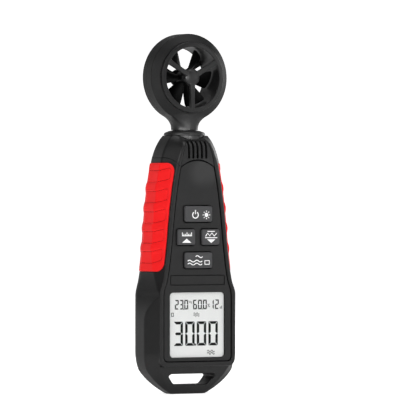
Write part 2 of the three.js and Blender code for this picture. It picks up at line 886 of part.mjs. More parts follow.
// Room for the cells: three round cradles that open to the back.
function batteryBay() {
  const cradles = cellCentres().map((x) => rodZ(x, CELL_Y, BAY_RADIUS, BAY_LOW, BAY_HIGH, 16));
  const half = COVER_HALF - 0.6;
  const mouth = box(-half, half, CELL_Y, BACK_Y, BAY_LOW, BAY_HIGH);
  const plateRoom = 0.8;
  const low = box(-half, half, 3.0, CELL_Y + 1, BAY_LOW, BAY_LOW + plateRoom);
  const high = box(-half, half, 3.0, CELL_Y + 1, BAY_HIGH - plateRoom, BAY_HIGH);
  return join(mouth, low, high, ...cradles);
}

function cellCentres() {
  return [-CELL_PITCH, 0, CELL_PITCH];
}

function screwTunnel([x, z]) {
  return rodY(x, z, TUNNEL_R, SEAM_Y, BACK_Y);
}

function screwTunnelBore([x, z]) {
  return join(
    rodY(x, z, TUNNEL_BORE_R, TUNNEL_FLOOR_Y, BACK_Y + 1),
    rodY(x, z, TUNNEL_HOLE_R, SEAM_Y - 1, TUNNEL_FLOOR_Y + 0.5),
  );
}

function rearCase() {
  const half = BAY_BLOCK_HALF;
  const low = COVER_LOW - 1.6;
  const high = BAY_HIGH + 2.2;
  const bayBlock = box(-half, half, BAY_BLOCK_FRONT_Y, BACK_Y, low, high);
  const bayFront = box(-half, half, BAY_BLOCK_FRONT_Y, SEAM_Y + 0.5, low, high);
  const tunnels = CASE_SCREWS.map(screwTunnel);
  const shell = cut(handleSolid(), frontSpace(), ...hollows(bayBlock, ...tunnels));
  const coverSeat = box(
    -COVER_HALF - CLEARANCE,
    COVER_HALF + CLEARANCE,
    BACK_Y - COVER_THICK - 0.1,
    BACK_Y + 1,
    COVER_LOW - CLEARANCE,
    COVER_HIGH + CLEARANCE,
  );
  const latchRoom = box(
    -COVER_HALF + 0.6,
    COVER_HALF - 0.6,
    HOOK_FRONT_Y - 1.3,
    BACK_Y - COVER_THICK - 0.1,
    BAY_HIGH - 1,
    COVER_HIGH + HOOK_REACH + 0.7,
  );
  const bossRoom = rodY(0, COVER_SCREW_Z, COVER_BOSS_R + 0.3, COVER_BOSS_FRONT_Y - 0.3, BACK_Y);
  return cut(
    join(shell, bayFront),
    batteryBay(),
    coverSeat,
    latchRoom,
    bossRoom,
    rodY(0, COVER_SCREW_Z, 1.4, 4.5, BACK_Y),
    ...CASE_SCREWS.map(screwTunnelBore),
  );
}

function frontPanel() {
  const plate = slab(panelOutline(0), PANEL_FACE_Y, PANEL_BACK_Y, OUTLINE_STEPS);
  const strip = roundedRect(
    0,
    (STRIP_LOW + STRIP_HIGH) / 2,
    2 * STRIP_HALF,
    STRIP_HIGH - STRIP_LOW,
    0.6,
  );
  return cut(
    plate,
    slab(windowShape(0), -FREE, FREE),
    slab(strip, -FREE, PANEL_FACE_Y + STRIP_DEPTH),
    ...Object.values(KEYS).map((key) => slab(keyShape(key, KEY_GAP), -FREE, FREE)),
  );
}

function ventGrille() {
  const outer = handleSolid({ ...NO_INSET, front: GRILLE_DROP });
  const inner = handleSolid({ ...NO_INSET, front: GRILLE_DROP + GRILLE_THICK });
  const plate = cut(slab(grilleOutline(0), -FREE, 0, OUTLINE_STEPS).intersect(outer), inner);
  const slots = [];
  for (let i = 0; i < VENT_COUNT; i += 1) {
    const x = (i - (VENT_COUNT - 1) / 2) * VENT_PITCH;
    slots.push(box(x - VENT_WIDTH / 2, x + VENT_WIDTH / 2, -FREE, 0, VENT_LOW, VENT_HIGH));
  }
  return cut(plate, ...slots);
}

function swivelCollar() {
  return turnedZ(
    [
      [COLLAR_BORE_R, COLLAR_LOW],
      [COLLAR_FOOT_R, COLLAR_LOW],
      [COLLAR_FOOT_R, COLLAR_FOOT_TOP],
      [COLLAR_STEM_R, COLLAR_FOOT_TOP],
      [COLLAR_STEM_R, COLLAR_STEP],
      [COLLAR_R, COLLAR_STEP],
      [COLLAR_R, COLLAR_FLANGE_LOW],
      [COLLAR_FLANGE_R, COLLAR_FLANGE_LOW],
      [COLLAR_FLANGE_R - 0.2, COLLAR_FLANGE_LOW + 1.3],
      [COLLAR_CROWN_R, COLLAR_TOP - 0.2],
      [COLLAR_CROWN_R - 0.8, COLLAR_TOP],
      [COLLAR_BORE_R, COLLAR_TOP],
    ],
    ROUND_STEPS,
  );
}

function keyButton(key) {
  const cap = slab(keyShape(key, 0), KEY_FACE_Y, KEY_FLANGE_FRONT_Y);
  const flange = slab(keyShape(key, KEY_FLANGE), KEY_FLANGE_FRONT_Y, KEY_FLANGE_BACK_Y, 1);
  const stem = rodY(key[0], key[1], KEY_STEM_R, KEY_FLANGE_BACK_Y - 0.5, KEY_STEM_BACK_Y);
  return join(cap, flange, stem);
}

function displayWindow() {
  return slab(windowShape(-CLEARANCE), WINDOW_FRONT_Y, WINDOW_BACK_Y);
}

function lcdGlass() {
  return slab(windowShape(-1), LCD_FRONT_Y, LCD_BACK_Y, 3);
}

// Light guide with a small lamp block at its lower edge.
function lcdBacklight() {
  const half = BACKLIGHT_HALF;
  const guide = box(-half, half, BACKLIGHT_FRONT_Y, BACKLIGHT_BACK_Y, BACKLIGHT_LOW, BACKLIGHT_HIGH);
  const lampFront = BACKLIGHT_FRONT_Y + 0.4;
  const lampBack = BACKLIGHT_BACK_Y + 1.4;
  return join(guide, box(-3, 3, lampFront, lampBack, BACKLIGHT_LOW - 2.4, BACKLIGHT_LOW + 0.2));
}

function mainBoard() {
  const shape = new THREE.Shape();
  const sides = [BOARD_LOW, ...TAPER_CHANGES, BOARD_HIGH];
  const half = (z) => along(FRONT_HALF_WIDTH, Math.max(20, z)) - BOARD_INSET;
  shape.moveTo(half(BOARD_LOW), BOARD_LOW);
  for (const z of sides.slice(1)) shape.lineTo(half(z), z);
  shape.lineTo(BOARD_TONGUE_HALF, BOARD_HIGH);
  shape.lineTo(BOARD_TONGUE_HALF, BOARD_TONGUE_TOP);
  shape.lineTo(-BOARD_TONGUE_HALF, BOARD_TONGUE_TOP);
  shape.lineTo(-BOARD_TONGUE_HALF, BOARD_HIGH);
  for (const z of sides.toReversed()) shape.lineTo(-half(z), z);
  return slab(shape, BOARD_FRONT_Y, BOARD_BACK_Y);
}

function keypadMembrane() {
  const [, middle] = KEYS.unit;
  return slab(roundedRect(0, middle, 24, 36, 2), MEMBRANE_FRONT_Y, MEMBRANE_BACK_Y, 3);
}

function keySwitch([x, z]) {
  const back = BOARD_FRONT_Y - SOLDER_GAP;
  const half = SWITCH_HALF;
  const body = box(x - half, x + half, SWITCH_FRONT_Y, back, z - half, z + half);
  return join(body, rodY(x, z, SWITCH_TIP_R, SWITCH_TIP_Y, SWITCH_FRONT_Y + 0.1));
}

function controllerChip() {
  const high = CHIP_LOW + 2 * CHIP_HALF;
  return box(-CHIP_HALF, CHIP_HALF, BOARD_BACK_Y + SOLDER_GAP, CHIP_BACK_Y, CHIP_LOW, high);
}

function humiditySensor() {
  const half = SENSOR_HALF;
  const back = BOARD_FRONT_Y - SOLDER_GAP;
  const can = box(-half, half, SENSOR_FRONT_Y, back, SENSOR_LOW, SENSOR_HIGH);
  const middle = (SENSOR_LOW + SENSOR_HIGH) / 2;
  return cut(can, rodY(0, middle, 0.8, SENSOR_FRONT_Y - 1, SENSOR_FRONT_Y + 0.6));
}

// Plug on the board and the lead that rises from it to the foot of the swivel.
function boardCable() {
  const path = new THREE.CatmullRomCurve3([
    new THREE.Vector3(0, 0, CABLE_LOW - 0.4),
    new THREE.Vector3(0, 0, 122),
    new THREE.Vector3(0, -2.2, 118.4),
    new THREE.Vector3(0, -3, PLUG_HIGH - 1.5),
  ]);
  const front = BOARD_BACK_Y + SOLDER_GAP;
  const plug = box(-PLUG_HALF, PLUG_HALF, front, PLUG_BACK_Y, PLUG_LOW, PLUG_HIGH);
  return join(tube(path, LEAD_R, 8, 8), plug);
}

function screw(x, z, { headY, headR, headThick, shankR, shankEnd }) {
  const tip = 1.2;
  const profile = [
    [0, shankEnd],
    [0.25 * shankR, shankEnd],
    [shankR, shankEnd + tip],
    [shankR, headY - headThick],
    [headR, headY - headThick],
    [headR, headY - 0.35],
    [headR - 0.35, headY],
    [0, headY],
  ];
  const slotHalf = 0.22 * headR;
  const slotLong = 0.62 * headR;
  const depth = 0.55 * headThick;
  return cut(
    turnedY(profile, 10, x, z),
    box(x - slotLong, x + slotLong, headY - depth, headY + 1, z - slotHalf, z + slotHalf),
    box(x - slotHalf, x + slotHalf, headY - depth, headY + 1, z - slotLong, z + slotLong),
  );
}

function caseScrew([x, z]) {
  return screw(x, z, CASE_SCREW);
}

// ---------------------------------------------------------------- battery bay pieces

// The middle cell stands the other way up.
function cellPointsUp(place) {
  return place !== 1;
}

function cell(place) {
  const nub = 0.8;
  const up = cellPointsUp(place);
  const margin = PLATE_THICK + CELL_GAP;
  const base = up ? BAY_HIGH - margin - CELL_LENGTH : BAY_LOW + margin;
  const heights = [0, 0.4, CELL_LENGTH - nub - 0.4, CELL_LENGTH - nub, CELL_LENGTH - nub, CELL_LENGTH];
  const radii = [CELL_RADIUS - 0.4, CELL_RADIUS, CELL_RADIUS, CELL_RADIUS - 0.4, 1.9, 1.9];
  const profile = heights.map((h, i) => [radii[i], up ? base + h : base + CELL_LENGTH - h]);
  const geometry = new THREE.LatheGeometry(
    profilePoints([[0, profile[0][1]], ...profile, [0, profile[5][1]]]),
    14,
  );
  geometry.rotateX(Math.PI / 2);
  geometry.translate(cellCentres()[place], CELL_Y, 0);
  return solid(geometry);
}

// A coil from a plate towards a cell's flat end.
class Coil extends THREE.Curve {
  constructor(x, z0, z1, turns) {
    super();
    Object.assign(this, { x, z0, z1, turns });
  }

  getPoint(t, target = new THREE.Vector3()) {
    const turn = 2 * Math.PI * this.turns * t;
    const radius = 3.4 - 1.2 * t;
    return target.set(
      this.x + radius * Math.cos(turn),
      CELL_Y + radius * Math.sin(turn),
      this.z0 + (this.z1 - this.z0) * t,
    );
  }
}

function contactSpring(place) {
  const x = cellCentres()[place];
  const wire = 0.28;
  const up = cellPointsUp(place);
  const plate = PLATE_GAP + PLATE_THICK;
  const start = up ? BAY_LOW + plate : BAY_HIGH - plate;
  const margin = PLATE_THICK + CELL_GAP + CELL_LENGTH;
  const cellEnd = up ? BAY_HIGH - margin : BAY_LOW + margin;
  const end = up ? cellEnd - wire - 0.1 : cellEnd + wire + 0.1;
  return tube(new Coil(x, start, end, 2), wire, 18, 4);
}

// A contact plate under the cells from first to last, at the low or the high end of the bay.
function contactPlate(first, last, atTop) {
  const margin = 3.4;
  const z0 = atTop ? BAY_HIGH - PLATE_GAP - PLATE_THICK : BAY_LOW + PLATE_GAP;
  const x0 = cellCentres()[first] - margin;
  const x1 = cellCentres()[last] + margin;
  return box(x0, x1, CELL_Y + 0.2 - margin, CELL_Y + margin, z0, z0 + PLATE_THICK);
}

function batteryCover() {
  const inner = BACK_Y - COVER_THICK;
  const plate = box(-COVER_HALF, COVER_HALF, inner, BACK_Y, COVER_LOW, COVER_HIGH);
  const hooks = [-HOOK_X, HOOK_X].flatMap((x) => {
    const sides = [x - HOOK_HALF, x + HOOK_HALF];
    return [
      box(...sides, HOOK_FRONT_Y, inner + 0.5, COVER_HIGH - 2.2, COVER_HIGH),
      box(...sides, HOOK_FRONT_Y, HOOK_FRONT_Y + 1.1, COVER_HIGH - 0.5, COVER_HIGH + HOOK_REACH),
    ];
  });
  const boss = rodY(0, COVER_SCREW_Z, COVER_BOSS_R, COVER_BOSS_FRONT_Y, inner + 0.5);
  const grooves = [];
  for (let i = 0; i < GRIP_LINE_COUNT; i += 1) {
    const low = GRIP_LINE_LOW + GRIP_LINE_PITCH * i;
    const half = GRIP_LINE_HALF;
    grooves.push(box(-half, half, BACK_Y - 0.5, BACK_Y + 1, low, low + GRIP_LINE_WIDTH));
  }
  return cut(
    join(plate, ...hooks, boss),
    rodY(0, COVER_SCREW_Z, 2.1, 14.2, BACK_Y + 1),
    rodY(0, COVER_SCREW_Z, 1.1, 10, BACK_Y),
    ...grooves,
  );
}

function coverScrew() {
  return screw(0, COVER_SCREW_Z, COVER_SCREW);
}

// ---------------------------------------------------------------- swivel head

function ringProfile(side) {
  const band = side < 0 ? RING_BAND_FRONT : RING_BAND_REAR;
  const profile = [
    [DUCT_SEAT_R, 0],
    [RING_R, 0],
    [RING_R, band],
    [RING_FACE_R, RING_FACE_Y],
    [DUCT_SEAT_R, RING_FACE_Y],
  ];
  return profile.map(([r, y]) => [r, side * y]);
}

// The spigot in the collar, and the neck that flares into the ring.
function neckSolid() {
  const stations = [
    [SPIGOT_LOW, SPIGOT_R],
    [CLIP_GROOVE_LOW, SPIGOT_R],
    [CLIP_GROOVE_LOW, CLIP_GROOVE_R],
    [CLIP_GROOVE_HIGH, CLIP_GROOVE_R],
    [CLIP_GROOVE_HIGH, SPIGOT_R],
    [NECK_LOW, SPIGOT_R],
    [NECK_LOW, NECK_R],
    ...NECK_FLARE,
  ];
  return loft(
    stations.map(([z, half]) => {
      const depth = Math.min(half, NECK_R);
      return Array.from({ length: NECK_SIDES }, (_, i) => {
        const turn = (2 * Math.PI * i) / NECK_SIDES;
        return new THREE.Vector3(half * Math.cos(turn), depth * Math.sin(turn), z);
      });
    }),
  );
}

function headScrewPlaces() {
  return HEAD_SCREW_ANGLES.map((degrees) => {
    const turn = THREE.MathUtils.degToRad(degrees);
    return [HEAD_SCREW_R * Math.cos(turn), RING_Z + HEAD_SCREW_R * Math.sin(turn)];
  });
}

// The hollow that runs round inside the ring, interrupted by the two screw bosses.
function ringHollow() {
  const half = HOLLOW_HALF;
  const profile = [
    [HOLLOW_INNER_R, -half],
    [HOLLOW_OUTER_R, -half],
    [HOLLOW_OUTER_R, half],
    [HOLLOW_INNER_R, half],
  ];
  const bosses = headScrewPlaces().map(([x, z]) => rodY(x, z, HEAD_BOSS_R, -half - 1, half + 1));
  return cut(turnedY(profile, 24), ...bosses);
}

// One half of the head: side -1 is the display side, +1 the back.
function headShell(side) {
  const half = side < 0 ? box(-FREE, FREE, -FREE, 0, 0, 300) : box(-FREE, FREE, 0, FREE, 0, 300);
  const sensorBed = box(
    -SENSOR_BED_HALF,
    SENSOR_BED_HALF,
    -SENSOR_BED_DEPTH,
    SENSOR_BED_DEPTH,
    SENSOR_BED_LOW,
    SENSOR_BED_LOW + 5,
  );
  const screwRoom = headScrewPlaces().map(([x, z]) =>
    join(rodY(x, z, 0.8, -4.4, 6), rodY(x, z, 1.5, 4.1, 9)),
  );
  return cut(
    join(turnedY(ringProfile(side), RING_STEPS), neckSolid().intersect(half)),
    rodY(0, RING_Z, DUCT_SEAT_R, -FREE, FREE, RING_STEPS),
    ringHollow(),
    rodZ(0, 0, CABLE_BORE_R, SPIGOT_LOW - 1, SENSOR_BED_LOW + 1),
    sensorBed,
    ...screwRoom,
  );
}

function spider(side) {
  const arms = ARM_ANGLES.map((degrees) => {
    const length = DUCT_R + 0.8 - ARM_ROOT;
    const geometry = new THREE.BoxGeometry(length, ARM_DEPTH, ARM_WIDTH);
    geometry.translate(ARM_ROOT + length / 2, side * ARM_Y, 0);
    geometry.rotateY(-THREE.MathUtils.degToRad(degrees));
    geometry.translate(0, 0, RING_Z);
    return solid(geometry);
  });
  const hub = turnedY(
    [
      [0, side * HUB_INNER_Y],
      [HUB_R - 0.6, side * HUB_INNER_Y],
      [HUB_R, side * (HUB_INNER_Y + 0.6)],
      [HUB_R, side * (HUB_FACE_Y - 1.2)],
      [HUB_R - 1.6, side * (HUB_FACE_Y - 0.2)],
      [0, side * HUB_FACE_Y],
    ],
    16,
  );
  const ends = [side * (HUB_INNER_Y - 1), side * (BEARING_END_Y + 0.1)].sort((a, b) => a - b);
  return { web: join(hub, ...arms), bore: rodY(0, RING_Z, BEARING_R + 0.1, ...ends) };
}

function vaneDuct() {
  const tube = turnedY(
    [
      [DUCT_R, DUCT_BACK_Y],
      [DUCT_R, -LIP_Y],
      [CAGE_R - 0.3, -CAGE_EDGE_Y],
      [CAGE_R, -CAGE_EDGE_Y + 0.3],
      [CAGE_R, -CAGE_SEAT_Y],
      [DUCT_OUTER_R, -CAGE_SEAT_Y],
      [DUCT_OUTER_R, DUCT_BACK_Y],
    ],
    RING_STEPS,
  );
  const { web, bore } = spider(-1);
  const sensorEye = rodZ(0, 0, CABLE_R, SENSOR_BED_LOW - 1, SENSOR_BED_LOW + 9);
  return cut(join(tube, web), bore, sensorEye);
}

function rearSpider() {
  const ring = turnedY(
    [
      [DUCT_R, CAGE_SEAT_Y],
      [CAGE_R, CAGE_SEAT_Y],
      [CAGE_R, CAGE_EDGE_Y - 0.3],
      [CAGE_R - 0.3, CAGE_EDGE_Y],
      [DUCT_R, LIP_Y],
    ],
    RING_STEPS,
  );
  const { web, bore } = spider(1);
  return cut(join(ring, web), bore);
}

function bearing(side) {
  const profile = [
    [SHAFT_BORE_R, side * HUB_INNER_Y],
    [BEARING_R, side * HUB_INNER_Y],
    [BEARING_R, side * BEARING_END_Y],
    [SHAFT_BORE_R, side * BEARING_END_Y],
  ];
  return turnedY(profile, SMALL_STEPS);
}

function bladeSensor() {
  const half = SENSOR_BED_HALF - 0.2;
  const depth = SENSOR_BED_DEPTH - 0.2;
  return box(-half, half, -depth, depth, SENSOR_BED_LOW + 0.2, SENSOR_BED_LOW + 3);
}

function sensorCable() {
  return rodZ(0, 0, CABLE_R, CABLE_LOW, SENSOR_BED_LOW + 0.1);
}

function retainingClip() {
  const bore = CLIP_GROOVE_R + CLEARANCE;
  const low = CLIP_GROOVE_LOW + CLEARANCE;
  const high = low + CLIP_THICK;
  const mouth = 3.2;
  const ring = turnedZ(
    [
      [bore, low],
      [CLIP_R, low],
      [CLIP_R, high],
      [bore, high],
    ],
    20,
  );
  return cut(ring, box(-mouth, mouth, -FREE, 0, low - 1, high + 1));
}

function frictionWasher() {
  return turnedZ(
    [
      [SPIGOT_R + 0.2, WASHER_LOW],
      [CLIP_R + 0.2, WASHER_LOW],
      [CLIP_R + 0.2, WASHER_HIGH],
      [SPIGOT_R + 0.2, WASHER_HIGH],
    ],
    20,
  );
}

function headScrew([x, z]) {
  return screw(x, z, HEAD_SCREW);
}

// ---------------------------------------------------------------- impeller

// One blade: a thin sheet between two faces, twisted from root to tip.
function blade(turn) {
  const across = [-1, -0.33, 0.33, 1];
  const face = (offset) =>
    BLADE_STATIONS.map(([r, wide, deep]) =>
      across.map((u) => {
        const lean = Math.atan2(wide, deep);
        const shift = (offset * BLADE_THICK) / 2;
        const arc = (u * wide + shift * Math.cos(lean)) / r;
        const y = IMPELLER_Y - u * deep + shift * Math.sin(lean);
        return new THREE.Vector3(r * Math.cos(turn + arc), y, RING_Z + r * Math.sin(turn + arc));
      }),
    );
  const front = face(1);
  const back = face(-1);
  const rings = front.map((row, i) => [...row, ...back[i].toReversed()]);
  return loft(rings, stripEnd);
}

function impeller() {
  const blades = [];
  for (let i = 0; i < BLADE_COUNT; i += 1) {
    blades.push(blade(BLADE_TURN + (2 * Math.PI * i) / BLADE_COUNT));
  }
  const hub = turnedY(
    [
      [SHAFT_BORE_R, IMPELLER_Y - IMPELLER_HALF],
      [IMPELLER_END_R, IMPELLER_Y - IMPELLER_HALF],
      [IMPELLER_HUB_R, IMPELLER_Y - IMPELLER_HALF + 1.6],
      [IMPELLER_HUB_R, IMPELLER_Y + IMPELLER_HALF - 1.6],
      [IMPELLER_END_R, IMPELLER_Y + IMPELLER_HALF],
      [SHAFT_BORE_R, IMPELLER_Y + IMPELLER_HALF],
    ],
    16,
  );
  return cut(join(hub, ...blades), rodY(0, RING_Z, SHAFT_BORE_R, -FREE, FREE, 16));
}

function impellerShaft() {
  const end = SHAFT_END_Y;
  return turnedY(
    [
      [0, -end],
      [0.2, -end],
      [SHAFT_R, -end + 0.4],
      [SHAFT_R, end - 0.4],
      [0.2, end],
      [0, end],
    ],
    SMALL_STEPS,
  );
}

// ---------------------------------------------------------------- assembly

const anemometer = new THREE.Group();
const handle = new THREE.Group();
const head = new THREE.Group();
const vane = new THREE.Group();
anemometer.add(handle, head);
head.add(vane);

handle.add(
  mesh("front_case", frontCase(), BLACK),
  mesh("rear_case", rearCase(), BLACK),
  mesh("front_panel", frontPanel(), PANEL_BLACK),
  mesh("vent_grille", ventGrille(), PANEL_BLACK),
  mesh("swivel_collar", swivelCollar(), BLACK),
  mesh("left_grip", grip(-1), RED_RUBBER),
  mesh("right_grip", grip(1), RED_RUBBER),
  mesh("display_window", displayWindow(), CLEAR),
  mesh("lcd_glass", lcdGlass(), DISPLAY_GREY),
  mesh("lcd_backlight", lcdBacklight(), CLEAR),
  mesh("main_board", mainBoard(), BOARD_GREEN),
  mesh("keypad_membrane", keypadMembrane(), SILICONE),
  mesh("controller_chip", controllerChip(), CHIP_BLACK),
  mesh("humidity_sensor", humiditySensor(), CHIP_BLACK),
  mesh("board_cable", boardCable(), CABLE_GREY),
  mesh("battery_cover", batteryCover(), BLACK),
  mesh("cover_screw", coverScrew(), STEEL),
  mesh("contact_positive", contactPlate(0, 0, true), NICKEL),
  mesh("contact_negative", join(contactPlate(2, 2, false), contactSpring(2)), NICKEL),
  mesh("contact_bridge_low", join(contactPlate(0, 1, false), contactSpring(0)), NICKEL),
  mesh("contact_bridge_high", join(contactPlate(1, 2, true), contactSpring(1)), NICKEL),
);
for (const [name, key] of Object.entries(KEYS)) {
  handle.add(
    mesh(`${name}_button`, keyButton(key), KEY_GREY),
    mesh(`${name}_switch`, keySwitch(key), CHIP_BLACK),
  );
}
cellCentres().forEach((_, i) => handle.add(mesh(`battery_${i + 1}`, cell(i), CELL_SLEEVE)));
CASE_SCREWS.forEach((place, i) => {
  handle.add(mesh(`case_screw_${i + 1}`, caseScrew(place), STEEL));
});

head.add(
  mesh("head_front_shell", headShell(-1), BLACK),
  mesh("head_rear_shell", headShell(1), BLACK),
  mesh("vane_duct", vaneDuct(), BLACK),
  mesh("rear_spider", rearSpider(), BLACK),
  mesh("front_bearing", bearing(-1), BRONZE),
  mesh("rear_bearing", bearing(1), BRONZE),
  mesh("blade_sensor", bladeSensor(), CHIP_BLACK),
  mesh("sensor_cable", sensorCable(), CABLE_GREY),
  mesh("retaining_clip", retainingClip(), STEEL),
  mesh("friction_washer", frictionWasher(), SILICONE),
);
headScrewPlaces().forEach((place, i) => {
  head.add(mesh(`head_screw_${i + 1}`, headScrew(place), STEEL));
});
vane.add(mesh("impeller", impeller(), BLACK), mesh("impeller_shaft", impellerShaft(), STEEL));

export default anemometer;
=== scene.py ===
import math
from contextlib import contextmanager

import bmesh
import bpy
import numpy as np
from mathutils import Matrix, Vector


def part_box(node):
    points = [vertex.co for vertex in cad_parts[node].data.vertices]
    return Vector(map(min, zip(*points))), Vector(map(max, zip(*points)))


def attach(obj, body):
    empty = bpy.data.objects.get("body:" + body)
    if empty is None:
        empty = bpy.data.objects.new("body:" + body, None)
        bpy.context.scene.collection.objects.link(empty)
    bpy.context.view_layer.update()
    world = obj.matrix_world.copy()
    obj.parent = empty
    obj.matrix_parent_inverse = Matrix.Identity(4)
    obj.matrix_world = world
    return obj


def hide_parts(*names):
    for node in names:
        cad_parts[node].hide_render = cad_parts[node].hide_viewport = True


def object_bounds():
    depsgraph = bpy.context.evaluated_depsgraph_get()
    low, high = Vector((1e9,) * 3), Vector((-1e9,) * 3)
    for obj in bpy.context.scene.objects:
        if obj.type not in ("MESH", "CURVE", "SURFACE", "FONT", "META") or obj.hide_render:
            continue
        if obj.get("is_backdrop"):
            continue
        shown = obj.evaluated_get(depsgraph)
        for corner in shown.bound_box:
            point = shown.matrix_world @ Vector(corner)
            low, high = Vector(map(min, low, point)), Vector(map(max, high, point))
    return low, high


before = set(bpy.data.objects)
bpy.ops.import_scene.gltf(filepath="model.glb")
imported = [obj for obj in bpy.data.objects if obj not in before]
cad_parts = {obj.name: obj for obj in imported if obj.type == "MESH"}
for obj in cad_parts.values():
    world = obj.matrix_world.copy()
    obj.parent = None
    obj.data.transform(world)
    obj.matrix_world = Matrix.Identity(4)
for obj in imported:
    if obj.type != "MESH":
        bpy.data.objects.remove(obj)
CAD_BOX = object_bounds()

# Looks of a handheld vane anemometer. Shapes are modelled in millimetres, in the frame of the CAD
# nodes: +Z up, -Y the display side, +X to the right of a person reading the display. place() scales
# a finished shape to metres and lets it ride on its body.

MM = 0.001


def extent(node):
    """Lowest and highest corner of a CAD node, in millimetres."""
    low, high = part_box(node)
    return np.array(low) / MM, np.array(high) / MM


# ---------------------------------------------------------------- dimensions

HEAD_LOW, HEAD_HIGH = extent("head_front_shell")
PANEL_LOW, PANEL_HIGH = extent("front_panel")
WINDOW_LOW, WINDOW_HIGH = extent("display_window")
COVER_LOW_CORNER, COVER_HIGH_CORNER = extent("battery_cover")
REAR_LOW, REAR_HIGH = extent("rear_case")

RING_R = HEAD_HIGH[0]
RING_Z = HEAD_HIGH[2] - RING_R
RING_FACE_Y = -HEAD_LOW[1]
BACK_Y, REAR_CASE_BOTTOM = REAR_HIGH[1], REAR_LOW[2]
PANEL_FACE_Y, PANEL_BACK_Y = PANEL_LOW[1], PANEL_HIGH[1]
FRONT_Y = PANEL_FACE_Y - 0.4  # the rim's face
HANDLE_TOP = 141.0
SEAM_Y = 5.2
CLEARANCE = 0.15
FREE = 40.0  # past any piece

# Handle outline: (height, value) stations
SIDE_HALF_WIDTH = [
    (0, 11.0), (4, 17.4), (9, 23.3), (14, 27.0), (18, 27.85), (22, 28.1), (54, 28.0), (58, 27.1),
    (66, 25.0), (76, 23.6), (96, 22.0), (118, 19.6), (127, 18.2), (133, 16.3), (138.6, 13.3),
    (141, 11.3)]
SIDE_HALF_DEPTH = [(0, 2.6), (5, 3.6), (11, 4.4), (20, 5.1), (141, 5.1)]
SIDE_FRONT_DEPTH = [(0, 3.8), (5, 5.0), (11, 5.7), (15, 5.6), (20, 5.1), (118, 5.1), (127, 6.1),
                    (141, 6.1)]
NOSE_HALF_WIDTH = [(0, 8.6), (5, 14.8), (11, 19.5), (15.1, 21.6), (20, 23.4), (24, 23.6)]
NOSE_DEPTH = [(0, 4.2), (5.25, 6.6), (11, 9.3), (15.1, 11.2), (20, 13.4), (23, 14.8)]
RIM_HALF_WIDTH = [
    (20, 23.6), (54.5, 23.6), (62, 21.4), (76, 19.2), (104, 16.2), (124.5, 12.7), (131, 10.6),
    (136.7, 8.2), (138.5, 7.4), (141, 5.5)]
RIM_DEPTH = [(16, 14.8), (131, 14.8), (134.5, 14.6), (136.3, 13.9), (137.6, 12.6), (138.5, 11.0),
             (141, 8.0)]
BACK_HALF_WIDTH = [
    (0, 9.0), (5, 14.8), (11, 19.2), (16, 21.2), (22, 21.8), (54.5, 21.8), (62, 20.2), (76, 18.2),
    (104, 15.6), (124.5, 12.2), (131, 10.0), (136.7, 7.5), (141, 5.5)]
BACK_DEPTH = [(0, 3.0), (5, 4.2), (11, 5.7), (15, 8.5), (24, 16.0), (128, 16.0), (133, 15.0),
              (137, 12.8), (141, 8.5)]
RIM_FOOT_Z = 15.2  # the raised front starts here, with a rounded lower edge
RIM_EDGE_R, RIM_CORNER_R = 1.0, 4.4
FOOT_GONE_Z = 23.0
END_R = 0.8  # edge round the bottom end
FACET_LOW, FACET_GONE, FACET_BACK = 40.0, 54.0, 80.0
CORNER_RADII = [0, 0.8, 0.4, 0.5, 0.9, 1.6, 2.6, 0]

# Insets of a section: side, front, rim, back
NO_INSET = (0.0,) * 4
CAVITY_INSET = (2.4, 3.4, 1.8, 2.0)
CAVITY_LOW, CAVITY_HIGH = 17.0, 131.0

RIM_WIDTH, RIM_WIDTH_TOP = 2.4, 1.2
PANEL_CORNER = 2.4
ARC_END_Z, ARC_TOP_Z = 123.6, 127.5
GRILLE_GAP, GRILLE_TOP = 0.3, 138.3

SLOT_OUTLINE = [(-9.8, 5.25), (9.8, 5.25), (11.2, 6.1), (14.7, 9.8), (13.4, 11.05), (-13.4, 11.05),
                (-14.7, 9.8), (-11.2, 6.1)]

GRIP_LOW, GRIP_HIGH = 66.9, 126.0
GRIP_PROUD, GRIP_RECESS = 0.5, 1.2
GRIP_FRONT_GAP, GRIP_BACK_GAP = 1.4, 2.4
GRIP_CORNER_TOP, GRIP_CORNER_BOTTOM = 5.6, 4.5
RIB_HEIGHT, RIB_HALF = 0.55, 3.2
RIB_CENTRES = (79.8, 90.8, 101.8, 112.8)
PAD_CENTRES = (74.6, 85.4, 96.3, 107.4, 118.7)
PAD_HALF, PAD_CORNER = 3.1, 0.8
PAD_FRONT_GAP, PAD_BACK_GAP = 2.0, 1.6
PAD_GROOVE, PAD_GROOVE_HALF, PAD_FLOOR = 0.62, 0.3, 0.2

CASE_SCREWS = [(-19.3, 27.0), (19.3, 27.0), (-10.0, 112.0), (10.0, 112.0)]
HEAD_SCREWS = [(21.1 * math.cos(t), RING_Z + 21.1 * math.sin(t))
               for t in (math.radians(35), math.radians(145))]
BOARD_POSTS = [(-16.4, 62), (16.4, 62), (-10.4, 110), (10.4, 110)]
CELL_Y, CELL_PITCH = 7.0, 11.3
BAY_LOW, BAY_HIGH, BAY_RADIUS = 37.6, 85.4, 5.5
BAY_BLOCK_HALF, BAY_BLOCK_FRONT = 18.4, 0.3
COVER_LOW, COVER_HIGH, COVER_HALF = COVER_LOW_CORNER[2], 85.8, COVER_HIGH_CORNER[0]
COVER_SCREW_Z = COVER_LOW + 3.0

SPIGOT_R, COLLAR_BORE = 6.6, 6.9
CAGE_BORE, CAGE_SEAT_R, CAGE_R = 16.6, 18.1, 19.3
HUB_R = 4.7

KEYS = ("power", "unit", "hold", "mode")
KEY_FLANGE = 0.9


# ---------------------------------------------------------------- curves and outlines


